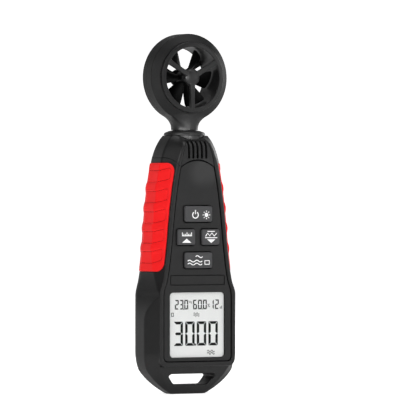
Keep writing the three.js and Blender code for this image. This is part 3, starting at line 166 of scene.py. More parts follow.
def along(stations, z):
    """Value at height z on a smooth curve through the stations that never overshoots them."""
    x, y = (np.array([s[k] for s in stations], float) for k in (0, 1))
    if z <= x[0]:
        return float(y[0])
    if z >= x[-1]:
        return float(y[-1])
    step = np.diff(x)
    slope = np.diff(y) / step
    tangent = np.zeros(len(x))
    for i in range(1, len(x) - 1):
        if slope[i - 1] * slope[i] > 0:
            a, b = 2 * step[i] + step[i - 1], step[i] + 2 * step[i - 1]
            tangent[i] = (a + b) / (a / slope[i - 1] + b / slope[i])
    tangent[0], tangent[-1] = slope[0], slope[-1]
    i = int(np.searchsorted(x, z) - 1)
    t = (z - x[i]) / step[i]
    return float(y[i] * (1 + 2 * t) * (1 - t) ** 2 + tangent[i] * step[i] * t * (1 - t) ** 2
                 + y[i + 1] * t * t * (3 - 2 * t) + tangent[i + 1] * step[i] * t * t * (t - 1))


def clamp(value):
    return min(1.0, max(0.0, value))


def fillet(radius, rise):
    """How far a round edge has drawn in at a distance rise past where it starts."""
    return radius - math.sqrt(max(0.0, radius**2 - max(0.0, rise) ** 2))


def lerp(a, b, t):
    return (a[0] + (b[0] - a[0]) * t, a[1] + (b[1] - a[1]) * t)


def distance(a, b):
    return math.hypot(b[0] - a[0], b[1] - a[1])


def rounded(points, radii, steps, closed=False):
    """A polyline whose corners are replaced by short curves that start radius away from each."""
    out, count = [], len(points)
    for i, point in enumerate(points):
        if not closed and i in (0, count - 1):
            out.append(point)
            continue
        radius = radii[i] if isinstance(radii, (list, tuple)) else radii
        start, end = (
            lerp(point, other, min(radius, 0.45 * distance(point, other))
                 / max(distance(point, other), 1e-9))
            for other in (points[i - 1], points[(i + 1) % count]))
        for t in (k / steps for k in range(steps + 1)):
            out.append(lerp(lerp(start, point, t), lerp(point, end, t), t))
    return out


def grown(points, grow):
    """A closed convex outline, counter-clockwise, with each side moved outwards by grow."""
    out = []
    for i, point in enumerate(points):
        after = points[(i + 1) % len(points)]
        (ax, az), (bx, bz) = (((b[1] - a[1]) / distance(a, b), (a[0] - b[0]) / distance(a, b))
                              for a, b in ((points[i - 1], point), (point, after)))
        scale = grow / (1 + ax * bx + az * bz)
        out.append((point[0] + (ax + bx) * scale, point[1] + (az + bz) * scale))
    return out


def arc(x, y, radius, start, end, steps):
    """Points on a circular arc, angles in degrees."""
    turns = [math.radians(start + (end - start) * k / steps) for k in range(steps + 1)]
    return [(x + radius * math.cos(t), y + radius * math.sin(t)) for t in turns]


def rounded_rect(x, z, width, height, radius, steps=6):
    """An outline(grow) of a rectangle with round corners."""

    def outline(grow):
        r = max(radius + grow, 0.05)
        w, h = width / 2 + grow - r, height / 2 + grow - r
        return [point for k, (sx, sz) in enumerate(((1, -1), (1, 1), (-1, 1), (-1, -1)))
                for point in arc(x + sx * w, z + sz * h, r, 90 * k - 90, 90 * k, steps)]

    return outline


def node_outline(low, high, radius, inset=0.0):
    """An outline(grow) of a CAD node seen from the front."""
    width, _, height = high - low - 2 * inset
    return rounded_rect((low[0] + high[0]) / 2, (low[2] + high[2]) / 2, width, height, radius)


# ---------------------------------------------------------------- meshes


@contextmanager
def editing(mesh):
    """The mesh as a bmesh, written back afterwards."""
    work = bmesh.new()
    work.from_mesh(mesh)
    yield work
    work.to_mesh(mesh)
    work.free()


def linked(name, data):
    obj = bpy.data.objects.new(name, data)
    bpy.context.scene.collection.objects.link(obj)
    return obj


def shape(points, faces):
    """A closed mesh object in millimetres, faces turned outwards."""
    mesh = bpy.data.meshes.new("shape")
    mesh.from_pydata([tuple(map(float, p)) for p in points], [], faces)
    with editing(mesh) as work:
        bmesh.ops.remove_doubles(work, verts=work.verts, dist=1e-4)
        bmesh.ops.recalc_face_normals(work, faces=work.faces)
    return linked("shape", mesh)


def loft(rings):
    """A closed skin through rings of points, with flat ends."""
    count = len(rings[0])
    faces = []
    for first in range(0, (len(rings) - 1) * count, count):
        for i in range(count):
            a, b = first + i, first + (i + 1) % count
            faces.append((a, b, b + count, a + count))
    last = (len(rings) - 1) * count
    faces += [tuple(range(count))[::-1], tuple(range(last, last + count))]
    return shape([p for ring in rings for p in ring], faces)


def lathe(profile, segments, put):
    """A closed (radius, height) profile turned about an axis. put(a, b, height) is a point beside
    the axis."""
    points, faces = [], []
    count = len(profile)
    for s in range(segments):
        turn = 2 * math.pi * s / segments
        points += [put(r * math.cos(turn), r * math.sin(turn), height) for r, height in profile]
        here, after = s * count, (s + 1) % segments * count
        for i in range(count):
            j = (i + 1) % count
            if max(profile[i][0], profile[j][0]) >= 1e-6:
                faces.append((here + i, here + j, after + j, after + i))
    return shape(points, faces)


def turned_y(profile, segments, x=0.0, z=RING_Z):
    """A profile turned about an axis along Y, the vane's axis unless told otherwise."""
    return lathe(profile, segments, lambda a, b, height: (x + a, height, z + b))


def turned_z(profile, segments, x=0.0, y=0.0):
    return lathe(profile, segments, lambda a, b, height: (x + a, y + b, height))


def bar_profile(radius, low, high):
    return [(0, low), (radius, low), (radius, high), (0, high)]


def rod(x, z, radius, y0, y1, segments=24):
    """A round bar parallel to Y."""
    return turned_y(bar_profile(radius, y0, y1), segments, x, z)


def post(x, y, radius, z0, z1, segments=32):
    """A round bar parallel to Z."""
    return turned_z(bar_profile(radius, z0, z1), segments, x, y)


def box(x0, x1, y0, y1, z0, z1):
    return loft([[(x0, y0, z), (x1, y0, z), (x1, y1, z), (x0, y1, z)] for z in (z0, z1)])


def slab(y0, y1, z0, z1):
    """A box as wide as anything here."""
    return box(-FREE, FREE, y0, y1, z0, z1)


def prism(loop, y0, y1):
    return loft([[(x, y, z) for x, z in loop] for y in (y0, y1)])


def plate(outline, face, steps):
    """A flat piece: steps are (grow, distance behind face) pairs."""
    return loft([[(x, face + back, z) for x, z in outline(grow)] for grow, back in steps])


def apply_modifiers(obj):
    graph = bpy.context.evaluated_depsgraph_get()
    made = bpy.data.meshes.new_from_object(obj.evaluated_get(graph))
    obj.modifiers.clear()
    old, obj.data = obj.data, made
    bpy.data.meshes.remove(old)


def discard(obj):
    mesh = obj.data
    bpy.data.objects.remove(obj)
    bpy.data.meshes.remove(mesh)


def combine(operation, body, tools):
    for tool in tools:
        modifier = body.modifiers.new("combine", "BOOLEAN")
        modifier.operation = operation
        modifier.solver = "MANIFOLD"
        modifier.object = tool
    apply_modifiers(body)
    for tool in tools:
        discard(tool)
    return body


def cut(body, *tools):
    return combine("DIFFERENCE", body, tools)


def join(body, *others):
    return combine("UNION", body, others)


def common(body, *others):
    return combine("INTERSECT", body, others)


def copy(obj):
    return linked(obj.name, obj.data.copy())


def gather(objects):
    """Several closed meshes as one object, without a boolean."""
    work = bmesh.new()
    for obj in objects:
        work.from_mesh(obj.data)
        discard(obj)
    mesh = bpy.data.meshes.new("gathered")
    work.to_mesh(mesh)
    work.free()
    return linked("gathered", mesh)


def place(obj, name, body, material, *nodes, sharp=32.0, slot=None):
    """Finishes a shape: smooth shading with sharp edges, metres, material, body and CAD nodes.
    The slot is not used."""
    mesh = obj.data
    obj.name = mesh.name = name
    with editing(mesh) as work:
        bmesh.ops.remove_doubles(work, verts=work.verts, dist=2e-4)
        bmesh.ops.dissolve_degenerate(work, edges=work.edges, dist=1e-4)
        bmesh.ops.scale(work, vec=(MM, MM, MM), verts=work.verts)
    mesh.shade_smooth()
    mesh.set_sharp_from_angle(angle=math.radians(sharp))
    mesh.materials.clear()
    mesh.materials.append(material)
    obj.modifiers.new("normals", "WEIGHTED_NORMAL").keep_sharp = True
    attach(obj, body)
    slot or material.name.partition(".")[0]
    if nodes:
        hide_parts(*nodes)


# ---------------------------------------------------------------- finishes


def rgba(color):
    return (*color[:3], 1.0)


def scaled(color, share):
    return tuple(c * share for c in color[:3])


class Finish:
    """A node material, with short calls for what most finishes here need."""

    def __init__(self, name):
        self.material = bpy.data.materials.new(name)
        self.material.use_nodes = True
        self.tree = self.material.node_tree
        self.tree.nodes.clear()
        self.spot = self.add("TexCoord").outputs["Object"]

    def add(self, kind, inputs=None, **settings):
        node = self.tree.nodes.new("ShaderNode" + kind)
        for key, value in settings.items():
            setattr(node, key, value)
        for socket, value in (inputs or {}).items():
            if isinstance(value, bpy.types.NodeSocket):
                self.tree.links.new(value, node.inputs[socket])
            else:
                node.inputs[socket].default_value = value
        return node

    def noise(self, size_mm, detail=2.0, stretch=(1.0, 1.0, 1.0)):
        mapped = self.add("Mapping", {"Vector": self.spot, "Scale": stretch}).outputs[0]
        inputs = {"Vector": mapped, "Scale": 1 / (size_mm * MM), "Detail": detail}
        return self.add("TexNoise", inputs).outputs["Fac"]

    def cells(self, size_mm):
        inputs = {"Vector": self.spot, "Scale": 1 / (size_mm * MM)}
        return self.add("TexVoronoi", inputs).outputs["Distance"]

    def height(self):
        return self.add("SeparateXYZ", {0: self.spot}).outputs["Z"]

    def spread(self, value, low, high, start=0.3, end=0.7):
        inputs = {"Value": value, "From Min": start, "From Max": end, "To Min": low, "To Max": high}
        return self.add("MapRange", inputs).outputs[0]

    def math(self, operation, a, b=0.0):
        return self.add("Math", {0: a, 1: b}, operation=operation).outputs[0]

    def blend(self, share, a, b):
        a, b = (rgba(c) if isinstance(c, tuple) else c for c in (a, b))
        return self.add("Mix", {0: share, 6: a, 7: b}, data_type="RGBA").outputs[2]

    def bump(self, height, depth_mm, strength=1.0, normal=None):
        inputs = {"Height": height, "Distance": depth_mm * MM, "Strength": strength}
        if normal is not None:
            inputs["Normal"] = normal
        return self.add("Bump", inputs).outputs[0]

    def worn_and_edge_lit(self, color, tone=0.14, wear_and_edge_light=0.6, pale=None):
        """Mottled colour, paler on the edges from abrasion plus a painted highlight; how much the
        edges are paled; and the edges' soft normal.
        """
        mottled = self.blend(self.spread(self.noise(11.0, 4.0), 0.0, 1.0),
                             scaled(color, 1 - tone), scaled(color, 1 + tone))
        soft = self.add("Bevel", {"Radius": 0.4 * MM}, samples=4).outputs[0]
        true = self.add("NewGeometry").outputs["Normal"]
        dot = self.add("VectorMath", {0: soft, 1: true}, operation="DOT_PRODUCT").outputs["Value"]
        # Paler edges: partly abrasion, partly a painted highlight that makes the edges look lit.
        near_edge = self.spread(dot, 0.0, 1.0, 0.995, 0.90)
        edge_wear_and_highlight = self.math("MULTIPLY", near_edge, self.spread(self.noise(2.4, 3.0), 0.15, wear_and_edge_light))
        return self.blend(edge_wear_and_highlight, mottled, pale or scaled(color, 3.2)), edge_wear_and_highlight, soft

    def surface(self, **inputs):
        inputs = {key.replace("_", " "): value for key, value in inputs.items()}
        shader = self.add("BsdfPrincipled", inputs).outputs[0]
        self.add("OutputMaterial", {"Surface": shader})
        return self.material


def moulded(name, color, roughness, grain_mm=0.45, depth_mm=0.012, tone=0.14, wear_and_edge_light=0.6,
            level=0.4, sheen=0.0, pale=None, glow=0.0):
    """Moulded plastic or rubber: fine grain, mottled tone, patchy sheen, and paler, smoother edges
    from abrasion plus a painted highlight. Crevices get painted shade, and glow adds painted light
    to the colour."""
    f = Finish(name)
    base, edge_wear_and_highlight, soft = f.worn_and_edge_lit(color, tone, wear_and_edge_light, pale)
    # Painted shade: ambient occlusion darkens the colour and the reflection in crevices, grooves
    # and gaps.
    open_sky = f.add("AmbientOcclusion", {"Distance": 0.9 * MM}, samples=6).outputs["AO"]
    painted_shade_factor = f.spread(open_sky, 0.25, 1.0, 0.35, 0.85)
    base = f.blend(painted_shade_factor, (0.0, 0.0, 0.0), base)
    grain = f.math("ADD", f.cells(grain_mm), f.noise(grain_mm * 0.7, 3.0))
    patchy = f.spread(f.noise(17.0, 3.0), roughness - 0.05, roughness + 0.06)
    rough = f.math("SUBTRACT", patchy, f.math("MULTIPLY", edge_wear_and_highlight, 0.25))
    # Emission from glow is painted light added to the colour.
    return f.surface(Base_Color=base, Roughness=rough,
                     Specular_IOR_Level=f.math("MULTIPLY", painted_shade_factor, level), Sheen_Weight=sheen,
                     Sheen_Roughness=0.4, Emission_Color=base, Emission_Strength=glow,
                     Normal=f.bump(grain, depth_mm, 0.6, soft))


def ring_plastic():
    """Black plastic, matt on the ring and smoother on the neck below it."""
    f = Finish("ring_black")
    # Its edges are paled by abrasion plus a painted highlight.
    base, _, soft = f.worn_and_edge_lit((0.0080, 0.0080, 0.0082))
    height, neck, ring = f.height(), 149.0 * MM, 153.0 * MM
    matt, level = (f.spread(height, *ends, neck, ring) for ends in ((0.36, 0.46), (0.42, 0.32)))
    grain = f.math("ADD", f.cells(0.45), f.noise(0.32, 3.0))
    rough = f.math("ADD", matt, f.spread(f.noise(17.0, 3.0), -0.04, 0.05))
    return f.surface(Base_Color=base, Roughness=rough, Specular_IOR_Level=level,
                     Normal=f.bump(grain, 0.012, 0.6, soft))


def metal(name, color, roughness, stretch=(1.0, 1.0, 1.0)):
    """Turned or drawn metal: fine tool lines and patches of tarnish."""
    f = Finish(name)
    lines = f.noise(0.25, 2.0, stretch)
    patches = f.spread(f.noise(1.6, 4.0), 0.0, 0.25)
    rough = f.math("ADD", f.spread(lines, roughness - 0.06, roughness + 0.1), patches)
    return f.surface(Base_Color=f.blend(patches, color, scaled(color, 0.45)), Metallic=1.0,
                     Roughness=rough, Normal=f.bump(lines, 0.006, 0.5))


def printed(name, color, roughness, painted_glow=0.0):
    """Ink or a display layer: slightly uneven, with a faint dot raster. A glow adds painted light
    that makes it brighter than the lamps do.
    """
    f = Finish(name)
    uneven = f.blend(f.spread(f.noise(6.0, 3.0), 0.0, 1.0), scaled(color, 0.965), color)
    raster = f.blend(f.spread(f.cells(0.3), 0.0, 0.35, 0.2, 0.6), uneven, scaled(color, 0.94))
    rough = f.spread(f.noise(3.0), roughness - 0.06, roughness + 0.06)
    return f.surface(Base_Color=raster, Roughness=rough, Emission_Color=raster,
                     Emission_Strength=painted_glow, Specular_IOR_Level=0.3,
                     Normal=f.bump(f.noise(0.4, 2.0), 0.003, 0.4))


def clear(name):
    """Clear acrylic, with fine wipe marks that only show in its reflections."""
    f = Finish(name)
    marks = f.spread(f.noise(1.2, 3.0, (1.0, 1.0, 0.12)), 0.03, 0.16)
    gloss = f.add("BsdfGlossy", {"Color": (1, 1, 1, 1), "Roughness": marks,
                                 "Normal": f.bump(f.noise(9.0), 0.01, 0.3)}).outputs[0]
    through = f.add("BsdfTransparent", {"Color": (0.985, 0.99, 0.985, 1)}).outputs[0]
    facing = f.add("LayerWeight", {"Blend": 0.06}).outputs["Fresnel"]
    share = f.math("MULTIPLY", facing, 0.3)
    mixed = f.add("MixShader", {0: share, 1: through, 2: gloss}).outputs[0]
    f.add("OutputMaterial", {"Surface": mixed})
    return f.material


def circuit_board():
    """Green solder mask over copper tracks, with tinned pads."""
    f = Finish("board_green")
    green, track, tin = (0.008, 0.085, 0.03), (0.03, 0.19, 0.07), (0.55, 0.55, 0.5)
    flat = f.add("Mapping", {"Vector": f.spot, "Rotation": (math.pi / 2, 0, 0)}).outputs[0]
    grid = f.add("TexBrick", {
        "Vector": flat, "Color1": (0, 0, 0, 1), "Color2": (0.1, 0.1, 0.1, 1),
        "Mortar": (1, 1, 1, 1), "Scale": 260.0, "Mortar Size": 0.05, "Brick Width": 1.6,
        "Row Height": 0.7}).outputs["Fac"]
    mask = f.blend(f.noise(8.0), green, scaled(green, 1.5))
    dots = f.spread(f.cells(2.6), 1.0, 0.0, 0.10, 0.13)
    base = f.blend(dots, f.blend(f.math("MULTIPLY", grid, 0.8), mask, track), tin)
    return f.surface(Base_Color=base, Roughness=f.spread(f.noise(5.0), 0.3, 0.45),
                     Metallic=f.math("MULTIPLY", dots, 0.8), Normal=f.bump(grid, 0.03, 0.5))


def cell_sleeve():
    """Printed sleeve of a cell: a blue body with a copper-coloured band."""
    f = Finish("cell_sleeve")
    band = f.spread(f.height(), 0.0, 1.0, 0.0700, 0.0703)
    mottled = f.blend(f.noise(7.0, 3.0), (0.035, 0.11, 0.23), (0.05, 0.16, 0.30))
    return f.surface(Base_Color=f.blend(band, mottled, (0.50, 0.27, 0.10)),
                     Roughness=f.spread(f.noise(3.0, 3.0), 0.22, 0.36),
                     Metallic=f.math("MULTIPLY", band, 0.6), Coat_Weight=0.4,
                     Normal=f.bump(f.noise(1.5, 3.0), 0.02, 0.3))


BLACK = moulded("case_black", (0.0103, 0.0103, 0.0105), 0.39)
PANEL_BLACK = moulded("panel_black", (0.0105, 0.0105, 0.0108), 0.41, grain_mm=0.35, depth_mm=0.008)
RING_BLACK = ring_plastic()
VANE_BLACK = moulded("vane_black", (0.0035, 0.0035, 0.0036), 0.42, depth_mm=0.006, level=0.15)
# The red grips glow: painted light that lifts their red. Their paler edges are abrasion plus a
# painted highlight.
GRIP_RED = moulded("grip_red", (0.97, 0.011, 0.0125), 0.58, grain_mm=0.3, depth_mm=0.010,
                   tone=0.05, wear_and_edge_light=0.22, level=0.19, sheen=0.12, pale=(0.95, 0.10, 0.09), glow=0.15)
KEY_GREY = moulded("key_grey", (0.072, 0.072, 0.075), 0.55, grain_mm=0.25, depth_mm=0.008,
                   tone=0.08, wear_and_edge_light=0.4, level=0.35)
# The legends and the display glow: painted light that keeps the print white and the display an even
# pale grey.
LEGEND_WHITE = printed("legend_white", (0.93, 0.93, 0.93), 0.55, painted_glow=0.25)
DISPLAY_GREY = printed("display_grey", (0.72, 0.715, 0.72), 0.45, painted_glow=0.33)
SEGMENT_BLACK = printed("segment_black", (0.003, 0.003, 0.0035), 0.6)
WINDOW_CLEAR = clear("window_clear")
LIGHT_GUIDE = moulded("light_guide", (0.75, 0.78, 0.78), 0.25, grain_mm=1.2, depth_mm=0.03,
                      tone=0.05, wear_and_edge_light=0.1)
BOARD_GREEN = circuit_board()
CHIP_BLACK = moulded("chip_black", (0.012, 0.012, 0.013), 0.5, grain_mm=0.2)
SILICONE = moulded("silicone", (0.42, 0.43, 0.43), 0.7, grain_mm=0.5, sheen=0.2)
CABLE_GREY = moulded("cable_grey", (0.045, 0.045, 0.05), 0.6, grain_mm=0.3)
NICKEL = metal("nickel", (0.62, 0.58, 0.52), 0.28, (1.0, 1.0, 0.2))
STEEL = metal("screw_steel", (0.42, 0.43, 0.45), 0.34)
BRONZE = metal("bearing_bronze", (0.42, 0.24, 0.08), 0.35)
CELL_SLEEVE = cell_sleeve()


# ---------------------------------------------------------------- handle form


def facet_cover(z):
    """How far the side has moved forward over the facet: 0 at the facet's full width."""
    if z < FACET_GONE:
        share = (z - FACET_LOW) / (FACET_GONE - FACET_LOW)
    else:
        share = (FACET_BACK - z) / (FACET_BACK - FACET_GONE)
    return min(0.97, max(0.0, share) ** 2)


def half_section(z, inset=NO_INSET):
    """Corner points of the right half of the handle's section, front to back."""
    side, front, rim, back = inset
    wide = along(SIDE_HALF_WIDTH, z) - side
    rear = (wide, along(SIDE_HALF_DEPTH, z) - 0.3 * side)
    end = (along(BACK_HALF_WIDTH, z) - 0.8 * rim, along(BACK_DEPTH, z) - back)
    corner = (wide, 0.3 * side - along(SIDE_FRONT_DEPTH, z))
    nose = (along(NOSE_HALF_WIDTH, z) - rim, front - along(NOSE_DEPTH, z))
    top = nose
    if z >= RIM_FOOT_Z:
        above = z - RIM_FOOT_Z
        top = (along(RIM_HALF_WIDTH, z) - fillet(RIM_CORNER_R, RIM_CORNER_R - above) - rim,
               front - along(RIM_DEPTH, z) + fillet(RIM_EDGE_R, RIM_EDGE_R - above))
    edge = lerp(corner, top, facet_cover(z))
    foot, brow = lerp(top, edge, 0.12), lerp(top, edge, 0.24)
    if RIM_FOOT_Z <= z < FOOT_GONE_Z:
        fade = (FOOT_GONE_Z - z) / (FOOT_GONE_Z - RIM_FOOT_Z)
        share = min(1.0, 3 * fade)
        foot = lerp(foot, (top[0] + 0.15 * fade, nose[1]), share)
        brow = lerp(brow, (max(nose[0], top[0] + 0.2), nose[1]), share)
    return top, foot, brow, edge, rear, end


def section_ring(z, inset, steps):
    corners = half_section(z, inset)
    half = rounded([(0.0, corners[0][1]), *corners, (0.0, corners[-1][1])], CORNER_RADII, steps)
    return [(x, y, z) for x, y in half] + [(-x, y, z) for x, y in half[-2:0:-1]]


def handle_form(inset=NO_INSET, low=0.0, high=HANDLE_TOP, pitch=1.1, steps=5):
    """The handle's outer form, or one inset from it. Sections lie close together where the form
    turns quickly, and the bottom end is rounded when the form starts at height 0."""
    rows = [low, high, *np.arange(low, high, pitch),
            *np.arange(RIM_FOOT_Z - 0.02, RIM_FOOT_Z + RIM_EDGE_R, 0.12),
            *np.arange(RIM_FOOT_Z + RIM_EDGE_R, 20.0, 0.35), *np.arange(126.0, HANDLE_TOP, 0.6)]
    if low == 0.0:
        rows += [0.08, 0.2, 0.4]
    rows = sorted(z for z in rows if low <= z <= high)
    rings = []
    for before, z in zip([-1.0, *rows], rows):
        if z - before > 0.02:
            draw = fillet(END_R, END_R - z) if low == 0.0 else 0.0
            rings.append(section_ring(z, tuple(i + draw for i in inset), steps))
    return loft(rings)


def inside_rim(z):
    share = clamp((z - 124.0) / 12.0)
    return along(RIM_HALF_WIDTH, z) - (RIM_WIDTH + (RIM_WIDTH_TOP - RIM_WIDTH) * share)


def top_arc(end, start_z, peak_z, steps=28):
    """The arc between the panel and the grille, from right to left."""
    return [(end * (1 - 2 * t), start_z + 4 * t * (1 - t) * (peak_z - start_z))
            for t in (k / steps for k in range(steps + 1))]


def panel_outline(grow):
    r = PANEL_CORNER
    right = arc(inside_rim(20.0) + grow - r, PANEL_LOW[2] - grow + r, r, -90, 0, 6)
    right += [(inside_rim(z) + grow, z) for z in np.arange(22.0, ARC_END_Z, 3.5)]
    top = top_arc(inside_rim(ARC_END_Z) + grow, ARC_END_Z, ARC_TOP_Z + grow)
    return right + top + [(-x, z) for x, z in reversed(right)]


def grille_outline(grow):
    low = ARC_END_Z + GRILLE_GAP - grow
    sides = [(inside_rim(z) + grow, z) for z in np.linspace(low + 0.5, GRILLE_TOP + grow, 16)]
    bottom = top_arc(-inside_rim(low) - grow, low, ARC_TOP_Z + GRILLE_GAP - grow)
    return sides + [(-x, z) for x, z in reversed(sides)] + bottom


def bend_back(obj):
    """Bends a flat grille piece back with the handle's top."""
    with editing(obj.data) as work:
        for z in np.arange(130.5, GRILLE_TOP + 1.0, 0.5):
            everything = work.verts[:] + work.edges[:] + work.faces[:]
            bmesh.ops.bisect_plane(work, geom=everything, plane_co=(0, 0, z), plane_no=(0, 0, 1))
        for v in work.verts:
            v.co.y += RIM_DEPTH[0][1] - along(RIM_DEPTH, v.co.z)
    return obj


def lanyard_slot():
    """Cutter for the strap slot, flared where it meets both faces: (grow, height above the face)
    pairs for the front and the back."""
    front = [(0.9, 0.5), (0.55, 0.02), (0.25, -0.18), (0.08, -0.45), (0.0, -0.8)]
    back = [(0.0, -0.8), (0.25, -0.2), (0.55, 0.02), (0.9, 0.5)]
    rings = []
    for side, depth, flare in ((-1, NOSE_DEPTH, front), (1, BACK_DEPTH, back)):
        for grow, proud in flare:
            outline = rounded(grown(SLOT_OUTLINE, grow), 0.9, 4, closed=True)
            rings.append([(x, side * (along(depth, z) + proud), z) for x, z in outline])
    return loft(rings)


# ---------------------------------------------------------------- grips


def grip_path(z, widen, columns):
    """Points from the front edge to the back edge of a grip on the handle's surface, their
    outward directions, and the distance of the facet's crease from the front edge."""
    top, _, _, edge, rear, end = half_section(z)
    radius, near = min((GRIP_CORNER_TOP, GRIP_HIGH - z), (GRIP_CORNER_BOTTOM, z - GRIP_LOW),
                       key=lambda corner: corner[1])
    inset = fillet(radius, radius - max(0.0, near)) - widen
    start = lerp(top, edge, min(0.9, (GRIP_FRONT_GAP + inset) / distance(top, edge)))
    finish = lerp(end, rear, min(0.9, (GRIP_BACK_GAP + inset) / distance(end, rear)))
    path = rounded([start, edge, rear, finish], [0, 0.35, 1.2, 0], 6)
    lengths = np.concatenate([[0], np.cumsum([distance(a, b) for a, b in zip(path, path[1:])])])
    at = np.linspace(0, lengths[-1], columns)
    xs, ys = (np.interp(at, lengths, [p[k] for p in path]) for k in (0, 1))
    dx, dy = np.gradient(xs), np.gradient(ys)
    size = np.hypot(dx, dy)
    return xs, ys, dy / size, -dx / size, at, distance(start, edge)


def rib_height(z):
    near = min(abs(z - centre) for centre in RIB_CENTRES)
    return RIB_HEIGHT * math.cos(near / RIB_HALF * math.pi / 2) if near < RIB_HALF else 0.0


def pad_groove(z, reach, length):
    """Depth of the outline round each pad, and of the pad itself."""
    depth = 0.0
    u = abs(reach - (PAD_FRONT_GAP + length - PAD_BACK_GAP) / 2)
    u += PAD_CORNER - (length - PAD_FRONT_GAP - PAD_BACK_GAP) / 2
    for centre in PAD_CENTRES:
        v = abs(z - centre) - PAD_HALF + PAD_CORNER
        outside = math.hypot(max(u, 0.0), max(v, 0.0)) - PAD_CORNER + min(max(u, v), 0.0)
        groove = PAD_GROOVE * math.exp(-((outside / PAD_GROOVE_HALF) ** 2))
        depth = max(depth, groove, PAD_FLOOR * clamp(-outside / 0.5))
    return depth


def grip_shell(side):
    """One soft grip: a curved shell with ribs, and outlined pads that rise towards the front."""
    columns, pitch, border, rise = 96, 0.27, 0.7, 2.0
    under_depth = CLEARANCE - GRIP_RECESS
    rings = []
    for z in [*np.arange(GRIP_LOW, GRIP_HIGH, pitch), GRIP_HIGH]:
        xs, ys, nx, ny, at, crease = grip_path(z, 0.0, columns)
        near_end = min(z - GRIP_LOW, GRIP_HIGH - z)
        ring, under = [], []
        for x, y, ax, ay, reach in zip(xs, ys, nx, ny, at):
            short = 1 - min(1.0, min(reach, at[-1] - reach, near_end) / border)
            height = (GRIP_PROUD + rib_height(z)) * math.sqrt(max(0.0, 1 - short * short))
            height -= pad_groove(z - rise * max(0.0, 1 - reach / crease), reach, at[-1])
            ring.append((side * (x + ax * height), y + ay * height, z))
            under.append((side * (x + ax * under_depth), y + ay * under_depth, z))
        rings.append(ring + under[::-1])
    return loft(rings)


def grip_recess(side):
    """Cutter for a grip's seat in the case."""
    columns, reach = 24, 3.0
    rows = [GRIP_LOW + r for r in (0, 0.3, 0.8, 1.5, 2.5, 3.5, 4.5)]
    rows += list(np.arange(GRIP_LOW + 6.0, GRIP_HIGH - GRIP_CORNER_TOP - 1.0, 3.0))
    rows += [GRIP_HIGH - r * GRIP_CORNER_TOP for r in (1, 0.8, 0.6, 0.42, 0.27, 0.15, 0.06, 0)]
    rings = []
    for z in rows:
        xs, ys, nx, ny, _, _ = grip_path(z, CLEARANCE, columns)
        out, under = ([(side * (x + a * d), y + b * d) for x, y, a, b in zip(xs, ys, nx, ny)]
                      for d in (reach, -GRIP_RECESS))
        level = z + {rows[0]: -CLEARANCE, rows[-1]: CLEARANCE}.get(z, 0.0)
        rings.append([(x, y, level) for x, y in out + under[::-1]])
    return loft(rings)


def build_grips():
    for side, name in ((-1, "left"), (1, "right")):
        place(grip_shell(side), name + "_soft_grip", "case", GRIP_RED, name + "_grip", sharp=50)


# ---------------------------------------------------------------- cases


def shoulder_line():
    """Curved sheets above the grips that mark the parting line on the shoulders."""
    half = 0.17
    heights = [(x, 128.8 - 4.4 * clamp((17.0 - x) / 5.0) ** 2.2)
               for x in np.linspace(11.4, 24.0, 24)]
    loops = [[(side * x, z + half) for x, z in heights]
             + [(side * x, z - half) for x, z in reversed(heights)] for side in (-1, 1)]
    return [prism(loop, -20.0, SEAM_Y) for loop in loops]


def surface_grooves():
    """Cutter for the fine lines in the handle's surface: the seams and the shoulder line."""
    proud, depth, half = 0.4, 0.32, 0.16
    skin = cut(handle_form((-proud,) * 4, low=0.01, steps=2), handle_form((depth,) * 4, steps=2))
    seam = slab(SEAM_Y - half, SEAM_Y + half, REAR_CASE_BOTTOM, HANDLE_TOP + 1)
    foot = slab(SEAM_Y, FREE, REAR_CASE_BOTTOM - half, REAR_CASE_BOTTOM + half)
    return common(join(gather([seam, *shoulder_line()]), foot), skin)


def front_space():
    return join(slab(-FREE, SEAM_Y, -1, 200), slab(0, FREE, -1, REAR_CASE_BOTTOM))


def shared_cutters():
    """Cutters for both halves: the collar's seat, the strap slot and the grips' seats."""
    low, step_z, high = CAVITY_HIGH - 0.5, 138.35, 143.0
    seat = turned_z([(0, low), (8.9, low), (8.9, 132.0), (10.2, 132.0), (10.2, 134.0),
                     (8.9, 134.0), (8.9, step_z), (10.7, step_z), (10.7, high), (0, high)], 72)
    return [seat, lanyard_slot(), grip_recess(1), grip_recess(-1)]


def window_outline(grow):
    return node_outline(WINDOW_LOW, WINDOW_HIGH, 1.9)(grow)


def key_outline(name):
    return node_outline(*extent(name + "_button"), 1.2, KEY_FLANGE)


def screw_posts():
    """Posts for the case screws, each with a web to the side wall."""
    front, half_web = -3.8, 0.8
    for x, z in CASE_SCREWS:
        ends = sorted((x, math.copysign(along(SIDE_HALF_WIDTH, z) - 1.8, x)))
        yield join(rod(x, z, 2.7, front, SEAM_Y),
                   box(*ends, front, SEAM_Y, z - half_web, z + half_web))


